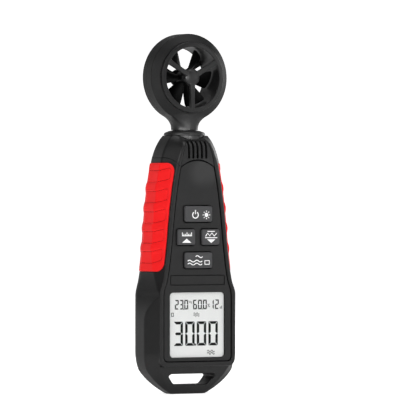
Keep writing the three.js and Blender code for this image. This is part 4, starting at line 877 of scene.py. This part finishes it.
def build_cases():
    outer = handle_form()
    cavity = handle_form(CAVITY_INSET, CAVITY_LOW, CAVITY_HIGH, 3.0, 2)
    rear, rear_cavity = copy(outer), copy(cavity)
    cut(cavity, *screw_posts(), *[rod(x, z, 1.6, -11.9, -6.3) for x, z in BOARD_POSTS])
    grooves = surface_grooves()
    low, high = COVER_LOW - 1.6, BAY_HIGH + 2.2
    sides = (-BAY_BLOCK_HALF, BAY_BLOCK_HALF, BAY_BLOCK_FRONT)
    cut(rear_cavity, box(*sides, BACK_Y, low, high),
        *[rod(x, z, 2.9, SEAM_Y, BACK_Y) for x, z in CASE_SCREWS])

    pocket = plate(panel_outline, FRONT_Y, [(0.9, -0.6), (0.5, -0.02), (0.27, 0.09), (0.15, 0.32),
                                            (0.15, PANEL_BACK_Y + 0.1 - FRONT_Y)])
    openings = [plate(key_outline(name), FRONT_Y, [(0.4, -FREE), (0.4, 4.4)]) for name in KEYS]
    openings.append(plate(window_outline, FRONT_Y, [(-0.6, -FREE), (-0.6, 4.4)]))
    grille_seat = bend_back(plate(grille_outline, FRONT_Y, [
        (0.9, -0.6), (0.45, -0.02), (0.22, 0.1), (0.12, 0.32), (0.12, 2.0)]))
    gate = box(-5.6, 5.6, -FREE, -8.0, 125.5, CAVITY_HIGH)
    holes = [rod(x, z, 1.05, -2.6, SEAM_Y + 1) for x, z in CASE_SCREWS]
    front = common(outer, front_space())
    cut(front, cavity, *shared_cutters(), pocket, *openings, grille_seat, gate, *holes,
        copy(grooves))
    place(front, "case_front_shell", "case", BLACK, "front_case")

    cut(rear, front_space(), rear_cavity, *shared_cutters())
    join(rear, box(*sides, SEAM_Y + 0.5, low, high))
    cut(rear, *bay_tools(), grooves)
    place(rear, "case_rear_shell", "case", BLACK, "rear_case")


def cover_outline(radius):
    return rounded_rect(0, (COVER_LOW + COVER_HIGH) / 2, 2 * COVER_HALF, COVER_HIGH - COVER_LOW,
                        radius)


def bay_tools():
    """Cutters for the battery bay, the cover's seat and the screw bores in the rear case."""
    half = COVER_HALF - 0.6
    yield box(-half, half, CELL_Y, BACK_Y, BAY_LOW, BAY_HIGH)
    for low in (BAY_LOW, BAY_HIGH - 0.8):
        yield box(-half, half, 3.0, CELL_Y + 1, low, low + 0.8)
    for x in (-CELL_PITCH, 0, CELL_PITCH):
        yield post(x, CELL_Y, BAY_RADIUS, BAY_LOW, BAY_HIGH, 48)
    yield plate(cover_outline(1.2), BACK_Y, [(0.15, -1.7), (0.15, -0.3), (0.28, -0.08),
                                             (0.5, 0.02), (0.8, 0.5)])
    yield box(-half, half, 11.2, 14.3, BAY_HIGH - 1, 88.2)
    yield rod(0, COVER_SCREW_Z, 3.2, 10.9, BACK_Y - 0.5)
    yield rod(0, COVER_SCREW_Z, 1.4, 4.5, BACK_Y - 0.5)
    for x, z in CASE_SCREWS:
        yield turned_y([(0, 9.5), (2.2, 9.5), (2.2, BACK_Y - 0.3), (2.5, BACK_Y),
                        (2.5, BACK_Y + 1), (0, BACK_Y + 1)], 32, x, z)
        yield rod(x, z, 1.15, SEAM_Y - 1, 10)


# ---------------------------------------------------------------- panel, grille and collar


def build_panel():
    back = PANEL_BACK_Y - PANEL_FACE_Y
    panel = plate(panel_outline, PANEL_FACE_Y, [
        (-0.55, 0.0), (-0.35, 0.06), (-0.25, 0.25), (-0.25, back)])
    openings = [(window_outline, CLEARANCE), *((key_outline(name), 0.4) for name in KEYS)]
    tools = [plate(outline, PANEL_FACE_Y, [
        (gap + 0.6, -0.5), (gap + 0.28, -0.01), (gap + 0.1, 0.07), (gap, 0.25), (gap, back + 1)])
        for outline, gap in openings]
    strip = rounded_rect(0, 62.2, 33.8, 5.2, 0.6)
    tools.append(cut(
        plate(strip, PANEL_FACE_Y, [(0.45, -0.4), (0.25, 0.0), (0.2, 0.1), (0.2, 0.4)]),
        plate(strip, PANEL_FACE_Y, [(-0.6, -1.0), (-0.35, 0.0), (-0.25, 0.12), (-0.25, 0.9)])))
    place(cut(panel, *tools), "front_plate", "case", PANEL_BLACK, "front_panel")


def build_grille():
    face = FRONT_Y + 0.2
    grille = plate(grille_outline, face, [(-0.25, 0.0), (-0.08, 0.06), (0.0, 0.22), (0.0, 1.6)])
    pitch, width, low, high = 2.7, 1.15, 128.4, 137.9
    for place_in_row in range(-2, 3):
        vent = rounded_rect(place_in_row * pitch, (low + high) / 2, width, high - low, 0.5)
        cut(grille, plate(vent, face, [(0.35, -0.4), (0.2, -0.01), (0.06, 0.1), (0.0, 0.3),
                                       (0.0, 2.5)]))
    place(bend_back(grille), "vent_plate", "case", PANEL_BLACK, "vent_grille")


def build_collar():
    low, high = extent("swivel_collar")
    outer_r, bore, foot = high[0], COLLAR_BORE, 141.15
    profile = [(bore, low[2]), (9.9, low[2]), (9.9, 133.8), (8.6, 133.8), (8.6, 138.5),
               (10.5, 138.5), (10.5, foot)]
    profile += arc(outer_r - 0.15, foot + 0.2, 0.2, -90, 0, 3)
    profile += rounded([(outer_r + 0.05, foot + 0.4), (outer_r - 0.2, foot + 1.4),
                        (8.4, high[2] - 0.2), (bore + 0.35, high[2])], 0.5, 4)
    profile += arc(bore + 0.3, high[2] - 0.3, 0.3, 90, 180, 3)
    place(turned_z(profile, 96), "collar_ring", "case", BLACK, "swivel_collar")


# ---------------------------------------------------------------- display and keys

SEGMENTS = {"0": "abcdef", "1": "bc", "2": "abged", "3": "abgcd", "6": "afgedc"}

# Digits, x of the first, pitch, height of the row, width, height and stroke of a digit
DIGIT_ROWS = [("3000", -11.4, 7.3, 33.1, 5.9, 13.2, 1.5), ("230", -12.3, 2.95, 48.9, 2.4, 5.2, 0.7),
              ("600", -0.9, 3.1, 48.9, 2.4, 5.2, 0.7), ("12", 9.7, 3.2, 48.9, 2.4, 5.2, 0.7)]

# Plain small marks beside the readings, with no letters. Bars: x, z, width, height
DISPLAY_BARS = [
    (-0.75, 27.1, 0.9, 1.1), (-7.87, 46.45, 0.5, 0.5), (3.75, 46.45, 0.5, 0.5),
    (-3.2, 50.0, 0.25, 1.3), (14.9, 46.9, 0.28, 0.8), (15.45, 47.1, 0.28, 1.2),
    (16.0, 47.3, 0.28, 1.6), (-15.0, 44.4, 1.5, 0.3), (-15.0, 42.6, 1.5, 0.3),
    (-15.6, 43.5, 0.3, 1.6), (-14.4, 43.5, 0.3, 1.6)]
# Small rings: x, z, radius, steps, stroke
DISPLAY_RINGS = [(-4.1, 50.4, 0.42, 14, 0.2), (7.3, 48.9, 0.25, 10, 0.18),
                 (8.15, 47.7, 0.25, 10, 0.18)]


def segment_loops(digit, x, z, width, height, t):
    """Outlines of one seven-segment digit of stroke t, centred on x, z."""
    w, h, g = width / 2, height / 2, 0.12 * t
    loops = {
        "a": [(-w + g, h), (w - g, h), (w - g - t, h - t), (-w + g + t, h - t)],
        "b": [(w, h - g), (w, g), (w - t / 2, g), (w - t, g + t / 2), (w - t, h - t - g)],
        "g": [(-w + g + t / 2, 0), (-w + g + t, t / 2), (w - g - t, t / 2), (w - g - t / 2, 0),
              (w - g - t, -t / 2), (-w + g + t, -t / 2)]}
    for twin, of, flip_x, flip_z in (("c", "b", 1, -1), ("f", "b", -1, 1), ("e", "b", -1, -1),
                                     ("d", "a", 1, -1)):
        loops[twin] = [(flip_x * px, flip_z * pz) for px, pz in loops[of]]
    return [[(x + px, z + pz) for px, pz in loops[key]] for key in SEGMENTS[digit]]


def stroke(points, width):
    """Outline of an open line with a given width."""
    left, right = [], []
    for i, (x, z) in enumerate(points):
        a, b = points[max(0, i - 1)], points[min(len(points) - 1, i + 1)]
        share = width / 2 / distance(a, b)
        nx, nz = (a[1] - b[1]) * share, (b[0] - a[0]) * share
        left.append((x + nx, z + nz))
        right.append((x - nx, z - nz))
    return left + right[::-1]


def bar(x, z, width, height):
    w, h = width / 2, height / 2
    return [(x - w, z - h), (x + w, z - h), (x + w, z + h), (x - w, z + h)]


def triangle(x, z, half, height):
    """A triangle that points up, or down when its height is negative."""
    return [(x - half, z - height / 2), (x + half, z - height / 2), (x, z + height / 2)]


def wave_line(x, z, length, height, turns, width, per_turn=12):
    shares = [k / (per_turn * turns) for k in range(per_turn * turns + 1)]
    return stroke([(x + length * (t - 0.5), z + height * math.sin(2 * math.pi * turns * t))
                   for t in shares], width)


def build_display():
    low, high = extent("lcd_glass")
    film_y = WINDOW_HIGH[1] + 0.01
    glass = plate(node_outline(low, high, 0.8), low[1], [
        (-0.15, 0.0), (0.0, 0.15), (0.0, high[1] - low[1])])
    film = plate(window_outline, film_y, [(0.1, 0.0), (0.1, 0.1)])
    place(join(glass, film), "lcd_cell", "case", DISPLAY_GREY, "lcd_glass")
    window = plate(window_outline, WINDOW_LOW[1], [
        (-0.2, 0.0), (-0.06, 0.05), (0.0, 0.2), (0.0, WINDOW_HIGH[1] - 0.06 - WINDOW_LOW[1])])
    place(window, "display_lens", "case", WINDOW_CLEAR, "display_window")

    loops = [loop for digits, x, pitch, *form in DIGIT_ROWS for i, digit in enumerate(digits)
             for loop in segment_loops(digit, x + pitch * i, *form)]
    loops += [bar(*sizes) for sizes in DISPLAY_BARS]
    loops += [stroke(arc(x, z, r, 0, 350, steps), wide) for x, z, r, steps, wide in DISPLAY_RINGS]
    loops.append(stroke([(7.2, 47.4), (8.2, 49.2)], 0.25))
    loops += [wave_line(0, z, 3.6, 0.45, 2, 0.3, 8) for z in (44.0, 42.9)]
    loops += [wave_line(9.1, z, 4.6, 0.55, 2, 0.36, 10) for z in (23.4, 22.2)]
    place(gather([prism(loop, film_y - 0.04, film_y - 0.005) for loop in loops]), "lcd_segments",
          "case", SEGMENT_BLACK, slot="display_grey")


def legend(name):
    """Outlines of the plain symbols printed on one key, about its centre."""
    if name == "power":
        lamp = 4.6
        rays = [stroke([(lamp + r * math.cos(t), r * math.sin(t) - 0.5) for r in (1.65, 2.35)],
                       0.45) for t in (math.radians(45 * k) for k in range(8))]
        return [stroke(arc(-2.3, -0.5, 1.75, 125, 415, 30), 0.6), bar(-2.3, 1.0, 0.6, 2.2),
                arc(lamp, -0.5, 1.15, 0, 345, 23), *rays]
    if name == "unit":
        ticks = [bar(0.96 * k - 2.88, 0.6 + tall / 2, 0.45, tall)
                 for k, tall in enumerate((2.0, 1.2, 1.2, 2.0, 1.2, 1.2, 2.0))]
        return [triangle(-0.2, -1.9, 2.9, 2.2), bar(0, 0.75, 6.2, 0.45), *ticks]
    if name == "hold":
        zigzag = [(-3.6, 0.4), (-2.2, 2.2), (-0.9, 0.6), (0.4, 2.3), (1.9, 0.5), (3.4, 2.1)]
        return [triangle(0, -2.2, 2.6, -2.0), bar(0, 3.1, 4.6, 0.45), bar(0, -0.35, 7.6, 0.45),
                stroke(zigzag, 0.5)]
    return [wave_line(0, 2.0, 4.4, 0.55, 1, 0.5), wave_line(-2.6, -0.4, 9.0, 0.5, 2, 0.5),
            wave_line(-2.6, -2.0, 9.0, 0.5, 2, 0.5), bar(5.0, -0.2, 3.2, 0.42),
            bar(5.0, -2.2, 3.2, 0.42), bar(3.6, -1.2, 0.42, 1.7), bar(6.4, -1.2, 0.42, 1.7)]


def build_keys():
    for name in KEYS:
        node = name + "_button"
        low, high = extent(node)
        x, face, z = (low[0] + high[0]) / 2, low[1], (low[2] + high[2]) / 2
        cap = plate(key_outline(name), face, [
            (-2.2, 0.0), (-1.0, 0.03), (-0.45, 0.12), (-0.15, 0.32), (0.0, 0.65), (0.0, 4.8),
            (KEY_FLANGE, 4.8), (KEY_FLANGE, 5.8)])
        place(join(cap, rod(x, z, 1.8, face + 5.3, high[1])), name + "_key", node, KEY_GREY, node)
        prints = [prism([(x + a, z + b) for a, b in loop], face - 0.035, face + 0.06)
                  for loop in legend(name)]
        place(gather(prints), name + "_legend", node, LEGEND_WHITE, slot="key_grey")


# ---------------------------------------------------------------- screws, cover and cells


def screw(x, z, head_y, head_r, head_thick, shank_r, shank_end):
    """A round-headed screw with a cross recess, driven along -Y."""
    pitch, root_r, neck = 0.8, shank_r * 0.8, head_y - head_thick
    profile = [(0, shank_end), (0.25 * shank_r, shank_end), (root_r, shank_end + 1.2)]
    for y in np.arange(shank_end + 1.6, neck - 0.9, pitch):
        profile += [(shank_r, y), (root_r, y + pitch / 2)]
    profile += [(shank_r, neck), (head_r, neck), (head_r, head_y - 0.5),
                (head_r - 0.12, head_y - 0.22), (head_r - 0.45, head_y), (0, head_y)]
    body = turned_y(profile, 36, x, z)
    wide, long = 0.2 * head_r, 0.62 * head_r
    for a, b in ((wide, long), (long, wide)):
        cut(body, plate(rounded_rect(x, z, 2 * a, 2 * b, 0.08, 2), head_y, [
            (-0.12, -0.6 * head_thick), (0.0, 0.0), (0.03, 0.5)]))
    return body


def build_screws():
    for body, node, name, spots, sizes in (
            ("case", "case_screw_{}", "case_bolt_{}", CASE_SCREWS, (11.1, 2.0, 1.5, 1.0, -2.2)),
            ("battery_cover", "cover_screw", "cover_bolt", [(0, COVER_SCREW_Z)],
             (15.6, 1.9, 1.3, 0.9, 6.5)),
            ("head", "head_screw_{}", "head_bolt_{}", HEAD_SCREWS, (5.4, 1.35, 1.0, 0.7, -4.0))):
        for i, (x, z) in enumerate(spots, 1):
            place(screw(x, z, *sizes), name.format(i), body, STEEL, node.format(i))


def build_cover():
    inner, high = BACK_Y - 1.6, COVER_HIGH
    cover = plate(cover_outline(1.1), BACK_Y, [
        (0.0, -1.6), (0.0, -0.35), (-0.1, -0.1), (-0.35, 0.0)])
    hooks = [box(x - 2, x + 2, 12.5, *sizes) for x in (-9.5, 9.5)
             for sizes in ((inner + 0.5, high - 2.2, high), (13.6, high - 0.5, high + 1.7))]
    join(cover, *hooks, rod(0, COVER_SCREW_Z, 2.9, 11.2, inner + 0.5, 40))
    grooves = [plate(rounded_rect(0, 74.95 + 2.2 * i, 12.0, 0.9, 0.4), BACK_Y, [
        (0.2, 0.4), (0.1, 0.0), (-0.1, -0.3), (-0.3, -0.5)]) for i in range(4)]
    sink = [(0, -0.3), (2.1, -0.3), (2.4, 0), (2.4, 1), (0, 1)]
    arrow = [(0.0, 66.0), (3.0, 69.6), (-3.0, 69.6)]
    cut(cover, rod(0, COVER_SCREW_Z, 2.1, 14.2, BACK_Y - 0.2, 36),
        turned_y([(r, BACK_Y + y) for r, y in sink], 36, 0, COVER_SCREW_Z),
        rod(0, COVER_SCREW_Z, 1.1, 10, BACK_Y, 24), *grooves,
        prism(arrow, BACK_Y - 0.3, BACK_Y + 1))
    place(cover, "bay_cover", "battery_cover", BLACK, "battery_cover")


def build_cells():
    for i in range(3):
        low, high = extent(f"battery_{i + 1}")
        r, length = (high[0] - low[0]) / 2, high[2] - low[2]
        profile = [
            (0, 0), (r - 1.1, 0), (r - 0.9, 0.25), (r - 0.35, 0.05), (r, 0.4), (r, length - 1.35),
            (r - 0.3, length - 1.0), (r - 0.8, length - 1.0), (r - 1.0, length - 1.1),
            (2.1, length - 1.1), (1.9, length - 0.9), (1.9, length - 0.2), (1.7, length),
            (0, length)]
        turned_over = i == 1
        profile = [(a, high[2] - h if turned_over else low[2] + h) for a, h in profile]
        place(turned_z(profile, 48, (low[0] + high[0]) / 2, CELL_Y), f"cell_{i + 1}", "case",
              CELL_SLEEVE, f"battery_{i + 1}")


# ---------------------------------------------------------------- head

RING_CORE_R = RING_R - 4.3
RING_BAND_FRONT, RING_BAND_REAR = 5.1, 4.3
RING_FACE = RING_FACE_Y + 0.08
NECK_R, NECK_BLEND = 7.4, 5.0
NECK_LOW, NECK_HIGH = 144.1, 160.0


def soft_max(a, b, reach):
    near = np.maximum(reach - np.abs(a - b), 0) / reach
    return np.maximum(a, b) + near * near * reach / 4


def ring_distance(p):
    """Signed height above the ring's outer form, before its bore is cut."""
    band = np.where(p[:, 1] < 0, RING_BAND_FRONT, RING_BAND_REAR)
    rho, y = np.hypot(p[:, 0], p[:, 2] - RING_Z), np.abs(p[:, 1])
    run, rise = RING_R - RING_CORE_R, RING_FACE - band
    cone = ((rho - RING_R) * rise + (y - band) * run) / np.hypot(run, rise)
    return soft_max(soft_max(rho - RING_R, cone, 0.5), y - RING_FACE, 0.5)


def head_distance(p):
    """Signed height above the ring, set 0.05 under its true form, blended with the neck."""
    neck = np.hypot(p[:, 0], p[:, 1]) - NECK_R + np.maximum(p[:, 2] - 151.5, 0) * 0.55
    return -soft_max(-ring_distance(p) - 0.05, -neck, NECK_BLEND)


def ring_form():
    """The ring's outer form, turned about the vane's axis: a side band between two cones."""
    corners = [(0.0, -RING_FACE), (RING_CORE_R, -RING_FACE), (RING_R, -RING_BAND_FRONT),
               (RING_R, RING_BAND_REAR), (RING_CORE_R, RING_FACE), (0.0, RING_FACE)]
    return turned_y(rounded(corners, 0.45, 5), 192)


def neck_form():
    """The neck and its smooth flare into the ring: a voxel skin drawn onto a distance function.
    Only what lies between NECK_LOW and NECK_HIGH is kept."""
    face, r, voxel, probe_step, longest_move = RING_FACE_Y, RING_R, 0.36, 0.01, 0.6
    ring = turned_y([(0, -face), (r - 4, -face), (r - 1, -5.3), (r, -4), (r, 4), (r - 1, 5.3),
                     (r - 4, face), (0, face)], 96)
    form = common(join(ring, post(0, 0, NECK_R, 141.0, 156.0, 64)), slab(-FREE, FREE, 141.0, 163.0))
    remesh = form.modifiers.new("skin", "REMESH")
    remesh.mode = "VOXEL"
    remesh.voxel_size = voxel
    apply_modifiers(form)
    p = np.array([v.co for v in form.data.vertices], float)
    for _ in range(6):
        slope = np.stack([(head_distance(p + probe) - head_distance(p - probe)) / (2 * probe_step)
                          for probe in np.eye(3) * probe_step], axis=1)
        size = np.maximum((slope**2).sum(1), 0.05)
        move = slope * (head_distance(p) / size)[:, None]
        length = np.maximum(np.sqrt((move**2).sum(1)), 1e-9)
        inside = p[:, 2] < NECK_HIGH + 1.5
        p[inside] -= (move * np.minimum(1.0, longest_move / length)[:, None])[inside]
    form.data.vertices.foreach_set("co", p.astype(np.float32).ravel())
    form.data.update()
    return cut(form, slab(-FREE, FREE, 100, NECK_LOW), slab(-FREE, FREE, NECK_HIGH, 200))


def build_head():
    low, neck_end = HEAD_LOW[2], 145.5
    spigot = turned_z([
        (0, low), (SPIGOT_R - 0.3, low), (SPIGOT_R, low + 0.3), (SPIGOT_R, 130.6), (5.6, 130.6),
        (5.6, 131.7), (SPIGOT_R, 131.7), (SPIGOT_R, NECK_LOW), (7.0, NECK_LOW),
        (7.35, NECK_LOW + 0.25), (7.35, neck_end), (0, neck_end)], 96)
    form = join(ring_form(), neck_form(), spigot)
    hollow = turned_y([(19.8, -4.9), (21.9, -4.9), (21.9, 4.9), (19.8, 4.9)], 64)
    cut(hollow, *[rod(x, z, 1.9, -6, 6) for x, z in HEAD_SCREWS])
    groove_r, half = RING_R - 0.22, 0.09
    tools = [turned_y(bar_profile(18.3, -FREE, FREE), 128), hollow, post(0, 0, 1.5, low - 1, 152),
             box(-2.4, 2.4, -1.8, 1.8, 151, 156),
             turned_y([(groove_r, -half), (RING_R + 1, -half), (RING_R + 1, half),
                       (groove_r, half)], 160)]
    for x, z in HEAD_SCREWS:
        tools += [rod(x, z, 1.5, 4.1, 9), rod(x, z, 0.8, -4.4, 4.5)]
    cut(form, *tools)
    rear = copy(form)
    for half_form, side, y0, y1 in ((form, "front", -FREE, 0), (rear, "rear", 0, FREE)):
        place(common(half_form, slab(y0, y1, 0, 300)), "ring_" + side, "head", RING_BLACK,
              f"head_{side}_shell", sharp=40, slot="case_black")


def spider(side):
    """Three arms and a domed hub on one side of the duct."""
    inner, shoulder, dome = 6.6, 8.1, 1.9
    profile = [(0, side * inner), (HUB_R - 0.6, side * inner), (HUB_R, side * (inner + 0.6)),
               (HUB_R, side * shoulder)]
    for k in range(1, 9):
        turn = math.radians(90 * k / 8)
        profile.append((HUB_R * math.cos(turn) if k < 8 else 0.0,
                        side * (shoulder + dome * math.sin(turn))))
    arms = []
    section = rounded([(-1.35, 7.6), (1.35, 7.6), (1.35, 9.4), (-1.35, 9.4)], 0.45, 3, closed=True)
    stations = [(1.5, 1.0), (5.0, 1.12), (6.5, 1.0), (14.5, 1.0), (16.2, 1.15), (17.4, 1.3)]
    for turn in (math.radians(degrees) for degrees in (30, 150, 270)):
        ca, sa = math.cos(turn), math.sin(turn)
        arms.append(loft([[
            (reach * ca - a * swell * sa, side * y, RING_Z + reach * sa + a * swell * ca)
            for a, y in section] for reach, swell in stations]))
    web = join(turned_y(profile, 64), *arms)
    return cut(web, rod(0, RING_Z, 1.7, *sorted((side * (inner - 1), side * 8.6))))


def build_cage():
    """The duct with its front ring and spider, and the rear ring and spider. Each ring's lip runs
    from its outer step to the duct's bore."""
    bore, seat, crown = CAGE_BORE, 7.7, 9.6
    lip = [(CAGE_R, seat), (CAGE_R, seat + 1.2), (CAGE_R - 0.1, seat + 1.36),
           (CAGE_R - 0.3, seat + 1.45), (bore + 0.7, crown - 0.1), (bore + 0.35, crown - 0.16),
           (bore + 0.1, crown - 0.3), (bore, crown - 0.6)]
    walls = {-1: [(bore, 7.4), (CAGE_SEAT_R, 7.4), (CAGE_SEAT_R, -7.66)], 1: [(bore, 7.62)]}
    duct, rear = (join(turned_y(walls[side] + [(r, side * y) for r, y in lip], 160), spider(side))
                  for side in (-1, 1))
    cut(duct, post(0, 0, 1.1, 150, 160))
    place(duct, "duct_and_cage", "head", BLACK, "vane_duct")
    place(rear, "rear_cage", "head", BLACK, "rear_spider")


# Blade stations from root to tip: radius, half-width across the flow, half-width along the flow
BLADE_STATIONS = [(3.2, 1.3, 1.7), (6.5, 2.3, 2.4), (10.5, 3.5, 2.9), (14.0, 4.4, 3.2),
                  (16.0, 4.8, 3.3)]
BLADE_TURN, BLADE_THICK, BLADE_CAMBER = -3.5, 0.8, 0.35
BLADE_ROUND = 15.2  # the blade's corners draw in from here to its tip
IMPELLER_Y, SHAFT_HOLE_R = 0.6, 0.56


def blade(turn):
    root, tip = BLADE_STATIONS[0][0], BLADE_STATIONS[-1][0]
    rings = []
    for radius in [*np.linspace(root, BLADE_ROUND, 14), 15.6, 15.85, tip]:
        draw = max(0.0, (radius - BLADE_ROUND) / (tip - BLADE_ROUND)) ** 2 * 0.4
        wide, deep = (along([(s[0], s[k]) for s in BLADE_STATIONS], radius) for k in (1, 2))
        wide, deep = wide - draw, deep - draw * 0.9
        lean = math.atan2(wide, deep)
        face, under = [], []
        for u in (-1 + 2 * k / 14 for k in range(15)):
            shift = BLADE_THICK / 2 * (1 - 0.85 * abs(u) ** 3)
            camber = BLADE_CAMBER * (1 - u * u)
            for rows, s in ((face, shift), (under, -shift)):
                a = turn + (u * wide + s * math.cos(lean)) / radius
                y = IMPELLER_Y - u * deep + (s - camber) * math.sin(lean)
                rows.append((radius * math.cos(a), y, RING_Z + radius * math.sin(a)))
        rings.append(face + under[::-1])
    return loft(rings)


def build_impeller():
    flat_r, edge_r, half = 1.9, 1.7, 2.5
    profile = [(SHAFT_HOLE_R, IMPELLER_Y - 4.2), (flat_r, IMPELLER_Y - 4.2),
               *arc(flat_r, IMPELLER_Y - half, edge_r, -90, 0, 6),
               *arc(flat_r, IMPELLER_Y + half, edge_r, 0, 90, 6), (SHAFT_HOLE_R, IMPELLER_Y + 4.2)]
    wheel = join(turned_y(profile, 64),
                 *[blade(math.radians(60 * i + BLADE_TURN)) for i in range(6)])
    cut(wheel, rod(0, RING_Z, SHAFT_HOLE_R, -FREE, FREE, 24))
    place(wheel, "vane_wheel", "vane", VANE_BLACK, "impeller", sharp=45)


# ---------------------------------------------------------------- CAD nodes kept as they are

KEPT = [
    (LIGHT_GUIDE, "lcd_backlight"), (BOARD_GREEN, "main_board"),
    (SILICONE, "keypad_membrane", "friction_washer"),
    (CHIP_BLACK, "controller_chip", "humidity_sensor", "power_switch", "unit_switch",
     "hold_switch", "mode_switch", "blade_sensor"),
    (CABLE_GREY, "board_cable", "sensor_cable"),
    (NICKEL, "contact_positive", "contact_negative", "contact_bridge_low", "contact_bridge_high"),
    (BRONZE, "front_bearing", "rear_bearing"), (STEEL, "retaining_clip", "impeller_shaft"),
]


def finish_kept_nodes():
    for material, *nodes in KEPT:
        for node in nodes:
            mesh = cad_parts[node].data
            mesh.materials.clear()
            mesh.materials.append(material)


# ---------------------------------------------------------------- stage

VIEW_TURN = -30  # the camera stands this many degrees round from the front


def build_stage():
    """A pale floor that rises into a backdrop behind the object. Seen directly it is near white;
    in reflections it is only as bright as the lamps make it."""
    half, near, far, radius, top = 6.0, -6.0, 5.5, 1.5, 5.0
    profile = [(near, 0.0), (far - radius, 0.0)]
    profile += [(far - radius + radius * math.sin(t), radius - radius * math.cos(t))
                for t in np.linspace(0.1, math.pi / 2, 10)]
    profile.append((far, top))
    c, s = math.cos(math.radians(VIEW_TURN)), math.sin(math.radians(VIEW_TURN))
    points = [(side * c - reach * s, side * s + reach * c, z - 0.0002)
              for side in (-half, half) for reach, z in profile]
    count = len(profile)
    mesh = bpy.data.meshes.new("backdrop")
    mesh.from_pydata(points, [], [(i, i + 1, count + i + 1, count + i) for i in range(count - 1)])
    mesh.shade_smooth()
    f = Finish("backdrop_white")
    direct = f.add("LightPath").outputs["Is Camera Ray"]
    tone = f.blend(f.noise(60.0), (0.87, 0.87, 0.87), (0.88, 0.88, 0.88))
    away = f.add("VectorMath", {0: f.spot}, operation="LENGTH").outputs["Value"]
    glow = f.add("Mix", {0: direct, 2: 0.24, 3: f.spread(away, 0.80, 1.0, 0.15, 0.8)}).outputs[0]
    mesh.materials.append(f.surface(
        Base_Color=tone, Roughness=0.9, Specular_IOR_Level=0.1, Emission_Color=(1, 1, 1, 1),
        Emission_Strength=glow, Normal=f.bump(f.noise(3.0), 0.02, 0.1)))
    linked("backdrop", mesh)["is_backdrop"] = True


def aimed(name, data, target, azimuth, elevation, reach):
    """A lamp or camera that looks at target; azimuth 0 is in front of the display, 90 on its
    right."""
    a, e = math.radians(azimuth), math.radians(elevation)
    away = Vector((math.sin(a) * math.cos(e), -math.cos(a) * math.cos(e), math.sin(e)))
    obj = linked(name, data)
    obj.location = Vector(target) + away * reach
    obj.rotation_euler = (-away).to_track_quat("-Z", "Y").to_euler()
    return obj


# Area lamps: azimuth, elevation, distance, size, power
SOFT_LIGHTS = {
    "key": (-55, 25, 1.5, 0.6, 7.2), "front": (-5, 15, 1.5, 0.6, 1.5),
    "near_camera": (-30, -2, 1.2, 0.25, 1.0), "right_fill": (45, 8, 1.7, 1.2, 5.6),
    "right_rear": (110, 10, 1.8, 1.0, 8.5), "left_rear": (-150, 6, 1.8, 1.3, 2.6),
    "top": (20, 80, 1.5, 0.9, 8.0), "high_right": (45, 46, 1.5, 0.6, 2.2)}


def accent(name, azimuth, target, spot_mm, power):
    """A narrow spot, one metre away, on one place of the object."""
    lamp = bpy.data.lights.new(name, "SPOT")
    lamp.energy = power
    lamp.spot_size = 2 * math.atan(spot_mm * MM)
    lamp.spot_blend = 1.0
    lamp.shadow_soft_size = 0.002
    aimed(name, lamp, target, azimuth, 0, 1.0)


def build_lights():
    for name, (azimuth, elevation, reach, size, power) in SOFT_LIGHTS.items():
        lamp = bpy.data.lights.new(name, "AREA")
        lamp.shape = "ELLIPSE"
        lamp.size = lamp.size_y = size
        lamp.energy = power
        aimed(name, lamp, (0, 0, 0.10), azimuth, elevation, reach)
    for offset in (-36, -12, 12, 36):
        accent(f"neck_accent_{offset}", VIEW_TURN + offset, (0, 0, 0.1445), 10.0, 14.0)
        accent(f"hub_accent_{offset}", VIEW_TURN + offset / 2, (0, -0.010, RING_Z * MM), 8.7, 7.0)
    accent("panel_accent", 30, (0.004, -0.0144, 0.1205), 9.0, 3.0)
    world = bpy.data.worlds.new("studio")
    world.use_nodes = True
    tree = world.node_tree
    direct = tree.nodes.new("ShaderNodeLightPath").outputs["Is Camera Ray"]
    level = tree.nodes.new("ShaderNodeMapRange")
    level.inputs["To Min"].default_value = 0.02
    level.inputs["To Max"].default_value = 1.0
    background = tree.nodes["Background"]
    background.inputs["Color"].default_value = (1, 1, 1, 1)
    tree.links.new(direct, level.inputs["Value"])
    tree.links.new(level.outputs[0], background.inputs["Strength"])
    bpy.context.scene.world = world


def build_camera():
    """Level with the object, on the left of its front."""
    data = bpy.data.cameras.new("camera")
    data.lens, data.sensor_width = 404.8, 36.0
    turn, across, up = math.radians(VIEW_TURN), 8.48 * MM, 105.8 * MM
    target = (across * math.cos(turn), across * math.sin(turn), up)
    bpy.context.scene.camera = aimed("camera", data, target, VIEW_TURN, 0, 2.46)
    bpy.context.scene.view_settings.view_transform = "Standard"


# ---------------------------------------------------------------- scene

for build in (build_cases, build_panel, build_grille, build_collar, build_grips, build_display,
              build_keys, build_screws, build_cover, build_cells, build_head, build_cage,
              build_impeller, finish_kept_nodes, build_stage, build_lights, build_camera):
    build()

boxes = {"cad": CAD_BOX, "visual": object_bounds()}
{name: [list(low), list(high)] for name, (low, high) in boxes.items()}
